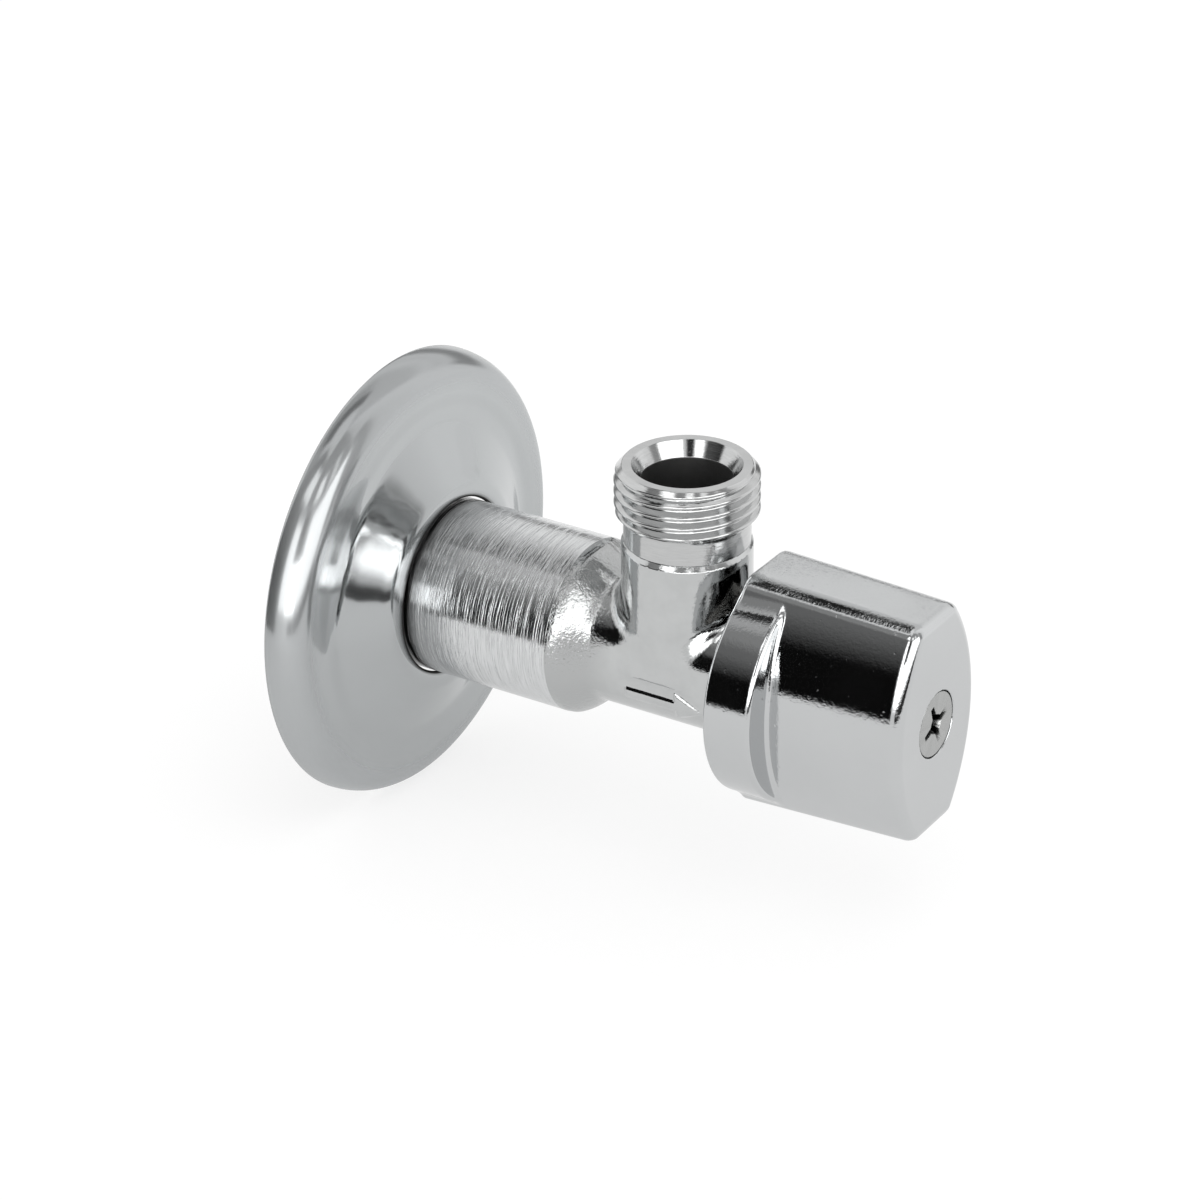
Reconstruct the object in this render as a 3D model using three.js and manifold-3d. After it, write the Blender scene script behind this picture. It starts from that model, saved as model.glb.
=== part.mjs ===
// Angle stop valve, half inch inlet and three eighths outlet, with a loose wall escutcheon.
// Units are millimetres. +Z is up along the outlet, and the valve's own axis runs along Y.
// Along that axis every part is placed by its station s: s = 0 is the wall plane (the back rim of
// the escutcheon) and s grows towards the user, who stands at -Y. Shapes are drawn at y = -s, and
// every mesh is then moved by ORIGIN_S, so that the frame's origin lies on the valve's axis,
// midway between its two ends.
import * as THREE from "three";
import { mergeVertices } from "three/addons/utils/BufferGeometryUtils.js";
import Module from "manifold-3d";

const wasm = await Module();
wasm.setup();

// ---- dimensions shared between pieces -----------------------------------------------------------
const INLET_END_S = -11.3; // end of the half inch thread, behind the wall plane
const KNOB_FACE_S = 72.7; // front face of the knob
const ORIGIN_S = (INLET_END_S + KNOB_FACE_S) / 2;

const OUTLET_S = 40.16; // station of the outlet's axis
const SEAT_S = 35.6; // front of the raised seat lip
const BONNET_FOOT_S = 45.2;
const BONNET_THREAD_R = 6.5; // M13x1 at its major diameter, modelled smooth
const PISTON_BORE_R = 5.0;
const GUIDE_FLAT = 4.3; // half the distance between the guide's flats
const SHOULDER_S = 58.14; // the spindle's collar bears here through the thrust washer
const SHANK_R = 3.22; // spindle shank, and the tips of its spline
const SPLINE_ROOT_R = 2.85;
const SPLINE_TEETH = 16;

const FIT = 0.05; // gap left between pieces that sit against each other
const OVERCUT = 1; // how far a cutting shape runs past the face it opens

// ---- finishes -----------------------------------------------------------------------------------
const RUBBER = { color: 0x1c1c1c, roughness: 0.7, metalness: 0 };
const SEAT_RUBBER = { color: 0x202020, roughness: 0.8, metalness: 0 };
const PLASTIC = { color: 0xeeeeea, roughness: 0.5, metalness: 0 };
const BODY_CHROME = { color: 0xc9cbcb, roughness: 0.12, metalness: 1 };
const SHEET_CHROME = { color: 0xc4c7c8, roughness: 0.1, metalness: 1 };
const KNOB_CHROME = { color: 0xcfd1d1, roughness: 0.1, metalness: 1 };
const SCREW_STEEL = { color: 0xb9bbbb, roughness: 0.3, metalness: 1 };
const CLIP_STEEL = { color: 0x6d6f70, roughness: 0.35, metalness: 1 };
const BONNET_BRASS = { color: 0x9e9c94, roughness: 0.35, metalness: 1 };
const SPINDLE_BRASS = { color: 0xb8975c, roughness: 0.3, metalness: 1 };
const PISTON_BRASS = { color: 0xb8955a, roughness: 0.35, metalness: 1 };
const SCREW_BRASS = { color: 0xbfa063, roughness: 0.3, metalness: 1 };

// ---- from geometry to solids --------------------------------------------------------------------

// Welds a closed geometry into a solid, turned right side out if its faces point inwards.
function solid(geometry) {
  const flat = geometry.index ? geometry.toNonIndexed() : geometry;
  const bare = new THREE.BufferGeometry().setAttribute("position", flat.getAttribute("position"));
  const merged = mergeVertices(bare, 1e-4);
  const corners = merged.index.array;
  const triangles = [];
  for (let i = 0; i < corners.length; i += 3) {
    const [a, b, c] = corners.subarray(i, i + 3);
    if (a !== b && b !== c && a !== c) triangles.push(a, b, c);
  }
  const make = () =>
    new wasm.Manifold(
      new wasm.Mesh({
        numProp: 3,
        vertProperties: new Float32Array(merged.attributes.position.array),
        triVerts: new Uint32Array(triangles),
      }),
    );
  const made = make();
  if (made.volume() >= 0) return made;
  for (let i = 0; i < triangles.length; i += 3) {
    [triangles[i + 1], triangles[i + 2]] = [triangles[i + 2], triangles[i + 1]];
  }
  return make();
}

function indexedGeometry(position, index) {
  const geometry = new THREE.BufferGeometry();
  geometry.setAttribute("position", new THREE.Float32BufferAttribute(position, 3));
  geometry.setIndex(index);
  return geometry;
}

// Turns a shape made about Y so that it stands about the outlet's axis, its y becoming z.
function standOnOutlet(geometry) {
  geometry.rotateX(Math.PI / 2);
  geometry.translate(0, -OUTLET_S, 0);
  return geometry;
}

const lathe = (points, segments) =>
  new THREE.LatheGeometry(
    points.map(([radius, y]) => new THREE.Vector2(radius, y)),
    segments,
  );

// Solid of revolution about the valve's axis from [radius, station] points.
const turned = (points, segments) =>
  solid(lathe(points.map(([radius, s]) => [radius, -s]), segments));

// Solid of revolution about the outlet's axis from [radius, z] points.
const turnedUp = (points, segments) => solid(standOnOutlet(lathe(points, segments)));

// Runs a profile in to the axis at both ends, square to it.
const filled = (points) => [[0, points[0][1]], ...points, [0, points.at(-1)[1]]];

// Joins a profile's end to its start, for a solid with a hole through it.
const looped = (points) => [...points, points[0]];

const washer = (innerR, outerR, startS, endS, segments) =>
  turned(
    looped([[innerR, startS], [outerR, startS], [outerR, endS], [innerR, endS]]),
    segments,
  );

const cylinder = (radius, startS, endS, segments) =>
  turned(filled([[radius, startS], [radius, endS]]), segments);

// A rod about Y with a right-handed helical V thread, covering heights low to high. Its ragged
// ends run past them, to be trimmed by an intersection.
function threadedRod({ major, minor, pitch }, low, high, segments) {
  const rowsPerTurn = 2; // root, then crest
  const firstTurn = Math.floor(low / pitch) - 2;
  const turns = Math.ceil(high / pitch) + 2 - firstTurn;
  const rows = turns * rowsPerTurn;
  const position = [];
  const index = [];
  // once round the rod, a row runs on into the same row of the next turn
  const at = (i, j) => (i < segments ? j * segments + i : (j + rowsPerTurn) * segments);
  for (let j = 0; j <= rows + rowsPerTurn; j++) {
    const radius = j % 2 ? major : minor;
    for (let i = 0; i < segments; i++) {
      const height = (firstTurn + j / rowsPerTurn + i / segments) * pitch;
      const angle = (i / segments) * Math.PI * 2;
      position.push(radius * Math.cos(angle), height, -radius * Math.sin(angle));
    }
  }
  for (let j = 0; j < rows; j++) {
    for (let i = 0; i < segments; i++) {
      const across = at(i + 1, j + 1);
      index.push(at(i, j), at(i + 1, j), across, at(i, j), across, at(i, j + 1));
    }
  }
  // the two ends close on a point of the axis
  const foot = position.length / 3;
  const head = foot + 1;
  position.push(0, (firstTurn - 0.5) * pitch, 0);
  position.push(0, (firstTurn + turns + 2) * pitch, 0);
  const endLoop = (row) => {
    const loop = [];
    for (let i = 0; i < segments; i++) loop.push(at(i, row));
    for (let j = rowsPerTurn; j > 0; j--) loop.push(at(0, row + j));
    return loop;
  };
  const lower = endLoop(0);
  const upper = endLoop(rows);
  lower.forEach((v, k) => index.push(foot, lower[(k + 1) % lower.length], v));
  upper.forEach((v, k) => index.push(head, v, upper[(k + 1) % upper.length]));
  return indexedGeometry(position, index);
}

// Straight prism of a closed [x, z] outline between two stations.
function prism(outline, startS, endS) {
  const shape = new THREE.Shape(outline.map(([x, z]) => new THREE.Vector2(x, z)));
  const geometry = new THREE.ExtrudeGeometry(shape, {
    depth: endS - startS,
    bevelEnabled: false,
    steps: 1,
  });
  geometry.rotateX(Math.PI / 2); // (x, y, z) -> (x, -z, y)
  geometry.translate(0, -startS, 0);
  return solid(geometry);
}

// Closed rings of [x, z] points lofted along the stations.
function loft(sections) {
  const count = sections[0].points.length;
  const position = [];
  const index = [];
  sections.forEach(({ s, points }) => points.forEach(([x, z]) => position.push(x, -s, z)));
  for (let k = 0; k + 1 < sections.length; k++) {
    for (let i = 0; i < count; i++) {
      const a = k * count + i;
      const b = k * count + ((i + 1) % count);
      index.push(a, b, b + count, a, b + count, a + count);
    }
  }
  const foot = position.length / 3;
  const head = foot + 1;
  position.push(0, -sections[0].s, 0);
  position.push(0, -sections.at(-1).s, 0);
  const last = (sections.length - 1) * count;
  for (let i = 0; i < count; i++) {
    const next = (i + 1) % count;
    index.push(foot, next, i);
    index.push(head, last + i, last + next);
  }
  return solid(indexedGeometry(position, index));
}

function oRing({ centreR, sectionR, s, around, about }) {
  const geometry = new THREE.TorusGeometry(centreR, sectionR, about, around);
  geometry.rotateX(Math.PI / 2);
  geometry.translate(0, -s, 0);
  return solid(geometry);
}

// ---- [x, z] outlines ----------------------------------------------------------------------------
const polar = (radius, angle) => [radius * Math.cos(angle), radius * Math.sin(angle)];

const arc = (radius, start, end, steps) =>
  Array.from({ length: steps + 1 }, (_, i) => polar(radius, start + ((end - start) * i) / steps));

// A circle with two flats, at x = -flat and x = flat.
function doubleD(radius, flat) {
  const corner = Math.acos(flat / radius);
  return [
    ...arc(radius, corner, Math.PI - corner, 6),
    ...arc(radius, Math.PI + corner, 2 * Math.PI - corner, 6),
  ];
}

// Alternate tips and roots.
const splineOutline = (clearance) =>
  Array.from({ length: SPLINE_TEETH * 2 }, (_, i) =>
    polar((i % 2 ? SPLINE_ROOT_R : SHANK_R) + clearance, (Math.PI * i) / SPLINE_TEETH),
  );

const rectangle = (halfX, halfZ) => [
  [-halfX, -halfZ],
  [halfX, -halfZ],
  [halfX, halfZ],
  [-halfX, halfZ],
];

// ---- body: one brass forging, machined and chrome plated ----------------------------------------
const INLET_THREAD = { major: 10.4, minor: 9.28, pitch: 1.814 }; // half inch, radii
const OUTLET_THREAD = { major: 8.33, minor: 7.5, pitch: 1.337 }; // three eighths, radii
const INLET_THREAD_END_S = 2.0;
const BODY_END_S = 50.9;
const OUTLET_TOP_Z = 24.14;
const RELIEF_R = 7.3; // plain core under the outlet thread

// Core of the inlet thread, machined collar, as-forged shoulder and neck.
function bodyBarrel() {
  const coreR = INLET_THREAD.minor - 0.12;
  const collarR = 10.45;
  const collarStartS = 4.0;
  const collarEndS = 26.9;
  const castR = 10.36;
  const neckR = 7.95;
  return turned(
    filled([
      [coreR, INLET_END_S + 0.02],
      [coreR, collarStartS - 0.8],
      [collarR - 0.25, collarStartS],
      [collarR, collarStartS + 0.3],
      [collarR, collarEndS],
      [castR, collarEndS + 0.05],
      [castR, 27.9],
      [10.08, 28.7],
      [9.45, 29.5],
      [8.4, 30.7],
      [neckR, 31.6],
      [neckR, BODY_END_S - 0.3],
      [neckR - 0.3, BODY_END_S],
    ]),
    32,
  );
}

function inletThread() {
  const { major, minor } = INLET_THREAD;
  const rod = threadedRod(INLET_THREAD, -(INLET_THREAD_END_S + 1), -(INLET_END_S - 1), 24);
  const envelope = turned(
    filled([
      [minor - 0.05, INLET_END_S],
      [major + 0.15, INLET_END_S + 1.2],
      [major + 0.15, INLET_THREAD_END_S - 1.2],
      [minor - 0.3, INLET_THREAD_END_S],
    ]),
    24,
  );
  return solid(rod).intersect(envelope);
}

function outletBoss() {
  const bossR = 7.56;
  const bossTopZ = 14.6;
  return turnedUp(
    filled([
      [bossR, 0],
      [bossR, bossTopZ],
      [RELIEF_R, bossTopZ + 0.75],
      [RELIEF_R, OUTLET_TOP_Z - 0.3],
    ]),
    28,
  );
}

function outletThread() {
  const { major, minor } = OUTLET_THREAD;
  const footZ = 17.5;
  const rod = threadedRod(OUTLET_THREAD, footZ - 1, OUTLET_TOP_Z + 1, 28);
  const envelope = turnedUp(
    filled([
      [RELIEF_R - 0.1, footZ - 0.8],
      [major + 0.1, footZ + 0.2],
      [major + 0.1, OUTLET_TOP_Z - 0.85],
      [minor - 0.1, OUTLET_TOP_Z],
    ]),
    28,
  );
  return solid(standOnOutlet(rod)).intersect(envelope);
}

// Inlet bore, orifice, raised seat, chamber and the mouth that takes the bonnet.
function waterway() {
  const inletR = 7.0;
  const orificeR = 4.0;
  const chamberR = 5.9;
  const chamberFloorS = 34.4;
  const oRingSeatR = 7.0;
  const oRingSeatS = 49.5;
  return turned(
    filled([
      [inletR + 0.6, INLET_END_S - OVERCUT],
      [inletR + 0.6, INLET_END_S],
      [inletR, INLET_END_S + 0.6],
      [inletR, 24],
      [orificeR, 28.6],
      [orificeR, SEAT_S],
      [orificeR + 0.5, SEAT_S],
      [5.0, chamberFloorS],
      [chamberR, chamberFloorS],
      [chamberR, BONNET_FOOT_S - 0.1],
      [BONNET_THREAD_R, BONNET_FOOT_S],
      [BONNET_THREAD_R, oRingSeatS],
      [oRingSeatR, oRingSeatS],
      [oRingSeatR, BODY_END_S - 0.2],
      [oRingSeatR + 0.2, BODY_END_S + 0.01],
      [oRingSeatR + 0.2, BODY_END_S + OVERCUT],
    ]),
    28,
  );
}

function outletBore() {
  const passageR = 4.4;
  const tubeR = 5.28; // takes a 10 mm tube
  const tubeStopZ = 11;
  const coneMouthR = 6.33;
  return turnedUp(
    filled([
      [passageR, 0],
      [passageR, tubeStopZ - 0.9],
      [tubeR, tubeStopZ],
      [tubeR, OUTLET_TOP_Z - 1.82],
      [coneMouthR, OUTLET_TOP_Z],
      [coneMouthR, OUTLET_TOP_Z + OVERCUT],
    ]),
    28,
  );
}

const body = () =>
  bodyBarrel()
    .add(inletThread())
    .add(outletBoss())
    .add(outletThread())
    .subtract(waterway())
    .subtract(outletBore());

// ---- escutcheon: one pressed sheet plate with a conical neck ------------------------------------
function escutcheon() {
  const rimR = 27.3;
  const holeR = 10.9;
  const depth = 8.0;
  const sheet = 0.65;
  const plateEdgeR = rimR - 4.3; // outer edge of the nearly flat band
  const plateS = 4.42;
  const bandInnerR = 20.3;
  const bandInnerS = 4.43;
  const neckS = 7.73; // front of the cone
  // both faces as [radius, station]: the front from the rim in, then the back from the hole out
  const front = [
    [rimR, 0],
    [rimR - 0.1, 1.05],
    [rimR - 0.45, 2.35],
    [rimR - 1.35, 3.55],
    [rimR - 2.7, 4.24],
    [plateEdgeR, plateS],
    [bandInnerR, bandInnerS],
    [18.9, 4.71],
    [17.9, 5.14],
    [12.5, neckS],
    [holeR + 0.7, depth],
  ];
  const back = [
    [holeR + 0.1, depth - 0.1],
    [holeR, depth - 0.4],
    [12.2, neckS - sheet],
    [17.6, 4.5],
    [18.7, 4.05],
    [bandInnerR, bandInnerS - sheet],
    [plateEdgeR, plateS - sheet],
    [rimR - 2.9, 3.6],
    [rimR - 1.75, 3.05],
    [rimR - 1.05, 2.05],
    [rimR - 0.75, 0.95],
    [rimR - sheet, 0],
  ];
  return turned(looped([...front, ...back]), 40);
}

// ---- bonnet: the brass headwork that screws into the body ---------------------------------------
const BONNET_HEX_S = 51.05;
const BONNET_TOP_S = 63.9;

function bonnetOutside() {
  const threadR = BONNET_THREAD_R - 0.06;
  const grooveR = 5.64; // floor of the O-ring groove
  const noseR = 6.0;
  return turned(
    filled([
      [BONNET_THREAD_R - 0.4, BONNET_FOOT_S + 0.05],
      [threadR, BONNET_FOOT_S + 0.5],
      [threadR, 49.4],
      [grooveR, 49.45],
      [grooveR, BONNET_HEX_S + 0.1],
      [noseR, BONNET_HEX_S + 0.1],
      [noseR, BONNET_TOP_S - 0.4],
      [noseR - 0.4, BONNET_TOP_S],
    ]),
    32,
  );
}

// Hexagon with its corners chamfered on both faces.
function bonnetHex() {
  const endS = 54.8;
  const flatR = 17 / 2; // 17 mm across flats
  const cornerR = flatR / Math.cos(Math.PI / 6);
  const outline = Array.from({ length: 6 }, (_, i) =>
    polar(cornerR, (2 * Math.PI * i) / 6 + Math.PI / 6),
  );
  const chamfers = turned(
    filled([
      [flatR + 0.05, BONNET_HEX_S],
      [cornerR + 0.2, BONNET_HEX_S + 0.7],
      [cornerR + 0.2, endS - 0.7],
      [flatR + 0.05, endS],
    ]),
    24,
  );
  return prism(outline, BONNET_HEX_S, endS).intersect(chamfers);
}

function bonnet() {
  const guideS = 51.6; // where the flats start
  const guideEndS = 56.5;
  const journalR = 3.28;
  const cutStartS = BONNET_FOOT_S - OVERCUT;
  const flattedBore = prism(doubleD(PISTON_BORE_R, GUIDE_FLAT), cutStartS, guideEndS);
  const roundBore = cylinder(PISTON_BORE_R, cutStartS, guideS, 32);
  const spindleBore = turned(
    filled([
      [GUIDE_FLAT, guideEndS - 0.1],
      [GUIDE_FLAT, SHOULDER_S],
      [journalR, SHOULDER_S],
      [journalR, BONNET_TOP_S + OVERCUT],
    ]),
    32,
  );
  return bonnetOutside()
    .add(bonnetHex())
    .subtract(flattedBore)
    .subtract(roundBore)
    .subtract(spindleBore);
}

const bonnetORing = () =>
  oRing({ centreR: 6.32, sectionR: 0.6, s: 50.2, around: 24, about: 8 });

// ---- spindle: turns in the bonnet without rising; its thread draws the closing piece ------------
const COLLAR_END_S = 57.58; // front of the spindle's collar
const SPINDLE_GROOVES = { // [start, end] stations
  inner: [59.2, 60.5],
  outer: [61.4, 62.7],
  circlip: [63.98, 64.72],
};
const CIRCLIP_GROOVE_R = 2.65;

function spindle() {
  const tipS = 45.1;
  const endS = 70.0;
  const driveR = 2.95; // M6x1 left-handed, modelled smooth
  const undercutR = 2.3;
  const collarR = 4.14;
  const collarS = 56.6;
  const splineS = 65.2;
  const groove = ([startS, finishS], floorR) => [
    [SHANK_R, startS],
    [floorR, startS],
    [floorR, finishS],
    [SHANK_R, finishS],
  ];
  const shaft = turned(
    filled([
      [driveR - 0.5, tipS],
      [driveR, tipS + 0.5],
      [driveR, 55.9],
      [undercutR, 56.0],
      [undercutR, collarS],
      [collarR, collarS],
      [collarR, COLLAR_END_S],
      [SHANK_R, COLLAR_END_S],
      ...groove(SPINDLE_GROOVES.inner, 2.24),
      ...groove(SPINDLE_GROOVES.outer, 2.24),
      ...groove(SPINDLE_GROOVES.circlip, CIRCLIP_GROOVE_R),
      [SHANK_R, splineS],
    ]),
    32,
  );
  // drilled from the front, with a conical bottom and a countersunk mouth
  const screwHoleR = 2.05;
  const screwHole = turned(
    [
      [0, 61.6],
      [screwHoleR, 62.3],
      [screwHoleR, endS - 0.3],
      [screwHoleR + 0.3, endS],
      [screwHoleR + 0.3, endS + OVERCUT],
      [0, endS + OVERCUT],
    ],
    20,
  );
  return shaft.add(prism(splineOutline(0), splineS - 0.1, endS)).subtract(screwHole);
}

function spindleORing([startS, endS]) {
  return oRing({
    centreR: 2.76,
    sectionR: 0.48,
    s: (startS + endS) / 2,
    around: 20,
    about: 6,
  });
}

const thrustWasher = () => washer(3.3, 4.2, COLLAR_END_S + FIT, SHOULDER_S - 0.04, 32);

// Open retaining ring in the groove just outside the bonnet, its gap towards +X.
function circlip() {
  const halfGap = 0.42; // radians
  const [grooveStartS, grooveEndS] = SPINDLE_GROOVES.circlip;
  const edge = (radius) => arc(radius, halfGap, 2 * Math.PI - halfGap, 20);
  const outline = [...edge(4.7), ...edge(CIRCLIP_GROOVE_R + 0.1).reverse()];
  return prism(outline, grooveStartS + FIT, grooveEndS - FIT);
}

// ---- closing piece: a piston with flats that slides in the bonnet and carries the seat washer ---
const CUP_R = 4.45; // recess for the seat washer
const CUP_FLOOR_S = 38.05;
const PISTON_GROOVE = [46.55, 47.85]; // O-ring groove, start and end stations

function closingPiece() {
  const endS = 53.2;
  const pistonR = PISTON_BORE_R - 0.1;
  const pistonEndS = 48.4;
  const cupRimS = 36.7;
  const cupOuterR = 5.1;
  const waistR = 3.9;
  const grooveR = 3.96;
  const [grooveStartS, grooveEndS] = PISTON_GROOVE;
  const guideGap = 0.12;
  const driveR = 3.03; // female drive thread, modelled smooth
  const outside = turned(
    filled([
      [CUP_R, CUP_FLOOR_S],
      [CUP_R, cupRimS],
      [cupOuterR, cupRimS],
      [cupOuterR, 39.0],
      [4.7, 39.5],
      [waistR, 39.9],
      [waistR, 45.4],
      [4.6, 45.7],
      [pistonR, 46.0],
      [pistonR, grooveStartS],
      [grooveR, grooveStartS],
      [grooveR, grooveEndS],
      [pistonR, grooveEndS],
      [pistonR, pistonEndS],
    ]),
    32,
  );
  const guideOutline = doubleD(PISTON_BORE_R - guideGap, GUIDE_FLAT - guideGap);
  const driveBore = turned(
    filled([
      [driveR, 41.6],
      [driveR, endS - 0.4],
      [driveR + 0.3, endS],
      [driveR + 0.3, endS + 0.8],
    ]),
    28,
  );
  return outside
    .add(prism(guideOutline, pistonEndS - 0.1, endS))
    .subtract(driveBore)
    .subtract(cylinder(1.5, 37, 40.7, 18)); // hole for the seat washer's screw
}

function closingPieceORing() {
  const [startS, endS] = PISTON_GROOVE;
  return oRing({
    centreR: 4.48,
    sectionR: 0.48,
    s: (startS + endS) / 2,
    around: 24,
    about: 6,
  });
}

const seatWasher = () => washer(1.55, CUP_R - FIT, SEAT_S + 0.06, CUP_FLOOR_S - FIT, 28);

// Slotted screw whose head faces the inlet.
function seatWasherScrew() {
  const headS = 34.5;
  const headEndS = 35.62;
  const headR = 2.5;
  const shankR = 1.42;
  const slot = prism(rectangle(2.6, 0.3), headS - 0.5, headS + 0.5);
  return turned(
    filled([
      [1.9, headS],
      [headR, 34.9],
      [headR, headEndS],
      [shankR, headEndS],
      [shankR, 40.3],
      [1.1, 40.6],
    ]),
    18,
  ).subtract(slot);
}

// ---- knob: hollow die casting, round skirt with a two-lobed grip --------------------------------
const KNOB_REAR_S = 50.3;
const GRIP_ARC_R = 21.5; // bulging sides of the grip
const GRIP_CORNER_R = 1.3;

// Half sizes of the grip, tapering to the front face.
const gripHalfHeight = (s) => THREE.MathUtils.mapLinear(s, 51, KNOB_FACE_S, 14.5, 13.65);
const gripHalfWidth = (s) => THREE.MathUtils.mapLinear(s, 56, KNOB_FACE_S, 9.72, 9.1);

// [x, z] outline of the grip at a station, drawn in by an inset: a quarter, mirrored twice.
function gripSection(s, inset, arcSteps, cornerSteps) {
  const halfHeight = gripHalfHeight(s) - inset;
  const sideR = GRIP_ARC_R - inset;
  const sideX = gripHalfWidth(s) - inset - sideR;
  const cornerR = GRIP_CORNER_R - inset * 0.4;
  const cornerZ = halfHeight - cornerR;
  const cornerX = sideX + Math.sqrt((sideR - cornerR) ** 2 - cornerZ ** 2);
  const tangent = Math.atan2(cornerZ, cornerX - sideX); // where side and corner meet
  const side = arc(sideR, 0, tangent, arcSteps).slice(0, -1);
  const corner = arc(cornerR, tangent, Math.PI / 2, cornerSteps);
  const quarter = [
    ...side.map(([x, z]) => [sideX + x, z]),
    ...corner.map(([x, z]) => [cornerX + x, cornerZ + z]),
  ];
  const upper = [...quarter, ...quarter.toReversed().map(([x, z]) => [-x, z])];
  return [...upper, ...upper.slice(1, -1).reverse().map(([x, z]) => [x, -z])];
}

// Lofts the grip through [station, inset] pairs.
const gripLoft = (stations, arcSteps, cornerSteps) =>
  loft(
    stations.map(([s, inset]) => ({
      s,
      points: gripSection(s, inset, arcSteps, cornerSteps),
    })),
  );

function knobSkirt() {
  const skirtR = 13.6;
  const frontS = 56.25;
  return turned(
    filled([
      [skirtR - 0.4, KNOB_REAR_S],
      [skirtR, KNOB_REAR_S + 0.4],
      [skirtR, frontS - 0.7],
      [skirtR - 0.7, frontS],
    ]),
    48,
  );
}

function knobGrip() {
  const edgeR = 1.15; // rounding of the front edge
  const edgeSteps = 3;
  const stations = [
    [KNOB_REAR_S + 0.03, 0.7],
    [KNOB_REAR_S + 0.8, 0],
  ];
  for (let i = 0; i <= edgeSteps; i++) {
    const angle = (i / edgeSteps) * (Math.PI / 2);
    stations.push([KNOB_FACE_S - edgeR * (1 - Math.sin(angle)), edgeR * (1 - Math.cos(angle))]);
  }
  return gripLoft(stations, 7, 3);
}

function knob() {
  const innerEndS = 70.6; // hub and ribs merge into the front wall here
  const skirtHollow = turned(
    filled([
      [11.6, KNOB_REAR_S - OVERCUT],
      [11.6, 54.6],
      [11.0, 55.0],
    ]),
    36,
  );
  const gripHollow = gripLoft([[54.5, 1.75], [70.1, 1.95]], 4, 2).intersect(
    cylinder(11.4, 54, 71, 36),
  );
  const hub = turned(filled([[5.2, 65.4], [5.6, 65.8], [5.6, innerEndS]]), 24);
  const ribs = prism(rectangle(0.8, 12), 66.2, innerEndS);
  const socket = prism(splineOutline(0.08), 64.5, 70.12);
  const screwHole = turned(
    filled([
      [2.25, 69.5],
      [2.25, 70.45],
      [3.98, 72.3],
      [3.98, KNOB_FACE_S + OVERCUT],
    ]),
    28,
  );
  return knobSkirt()
    .add(knobGrip())
    .subtract(skirtHollow)
    .subtract(gripHollow)
    .add(hub)
    .add(ribs)
    .subtract(socket)
    .subtract(screwHole);
}

// One bar of the cross recess: a flattened four-sided taper, widest at the front.
function recessBar(turn) {
  const depth = 2.1;
  const geometry = new THREE.CylinderGeometry(2.05, 0.75, depth, 4, 1);
  geometry.rotateY(Math.PI / 4);
  geometry.scale(1, 1, 0.34);
  geometry.rotateY(turn);
  geometry.rotateX(Math.PI);
  geometry.translate(0, -(KNOB_FACE_S + 0.15) + depth / 2, 0);
  return solid(geometry);
}

// M4 countersunk screw.
function knobScrew() {
  const shankR = 1.92;
  const headR = 3.86;
  const recessTurn = 0.35; // radians
  return turned(
    filled([
      [1.5, 62.55],
      [shankR, 62.95],
      [shankR, 70.42],
      [headR, 72.32],
      [headR, 72.55],
      [3.7, 72.62],
    ]),
    28,
  )
    .subtract(recessBar(recessTurn))
    .subtract(recessBar(recessTurn + Math.PI / 2));
}

// ---- assembly -----------------------------------------------------------------------------------
const group = new THREE.Group();

function add(name, made, finish) {
  const { vertProperties, triVerts } = made.getMesh();
  const geometry = new THREE.BufferGeometry();
  geometry.setAttribute(
    "position",
    new THREE.BufferAttribute(new Float32Array(vertProperties), 3),
  );
  geometry.setIndex(new THREE.BufferAttribute(new Uint32Array(triVerts), 1));
  geometry.computeVertexNormals();
  const mesh = new THREE.Mesh(geometry, new THREE.MeshStandardMaterial(finish));
  mesh.name = name;
  mesh.position.y = ORIGIN_S;
  group.add(mesh);
}

add("body", body(), BODY_CHROME);
add("escutcheon", escutcheon(), SHEET_CHROME);
add("bonnet", bonnet(), BONNET_BRASS);
add("bonnet_o_ring", bonnetORing(), RUBBER);
add("spindle", spindle(), SPINDLE_BRASS);
add("spindle_o_ring_inner", spindleORing(SPINDLE_GROOVES.inner), RUBBER);
add("spindle_o_ring_outer", spindleORing(SPINDLE_GROOVES.outer), RUBBER);
add("thrust_washer", thrustWasher(), PLASTIC);
add("spindle_circlip", circlip(), CLIP_STEEL);
add("closing_piece", closingPiece(), PISTON_BRASS);
add("closing_piece_o_ring", closingPieceORing(), RUBBER);
add("seat_washer", seatWasher(), SEAT_RUBBER);
add("seat_washer_screw", seatWasherScrew(), SCREW_BRASS);
add("knob", knob(), KNOB_CHROME);
add("knob_screw", knobScrew(), SCREW_STEEL);

export default group;
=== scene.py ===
"""Angle stop valve: fine surfaces, materials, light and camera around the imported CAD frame.

The valve's axis runs along -Y from the wall to the user, and the outlet points up along +Z.
Lengths are millimetres until a mesh is made; shaders work in metres. A place on the axis is given
by its station s = -y, counted from the wall plate's back. That back lies at y = Y0 in the frame,
so each mesh is moved by Y0.
"""

import math

import bmesh
import bpy
import numpy as np
from mathutils import Matrix, Vector


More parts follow.
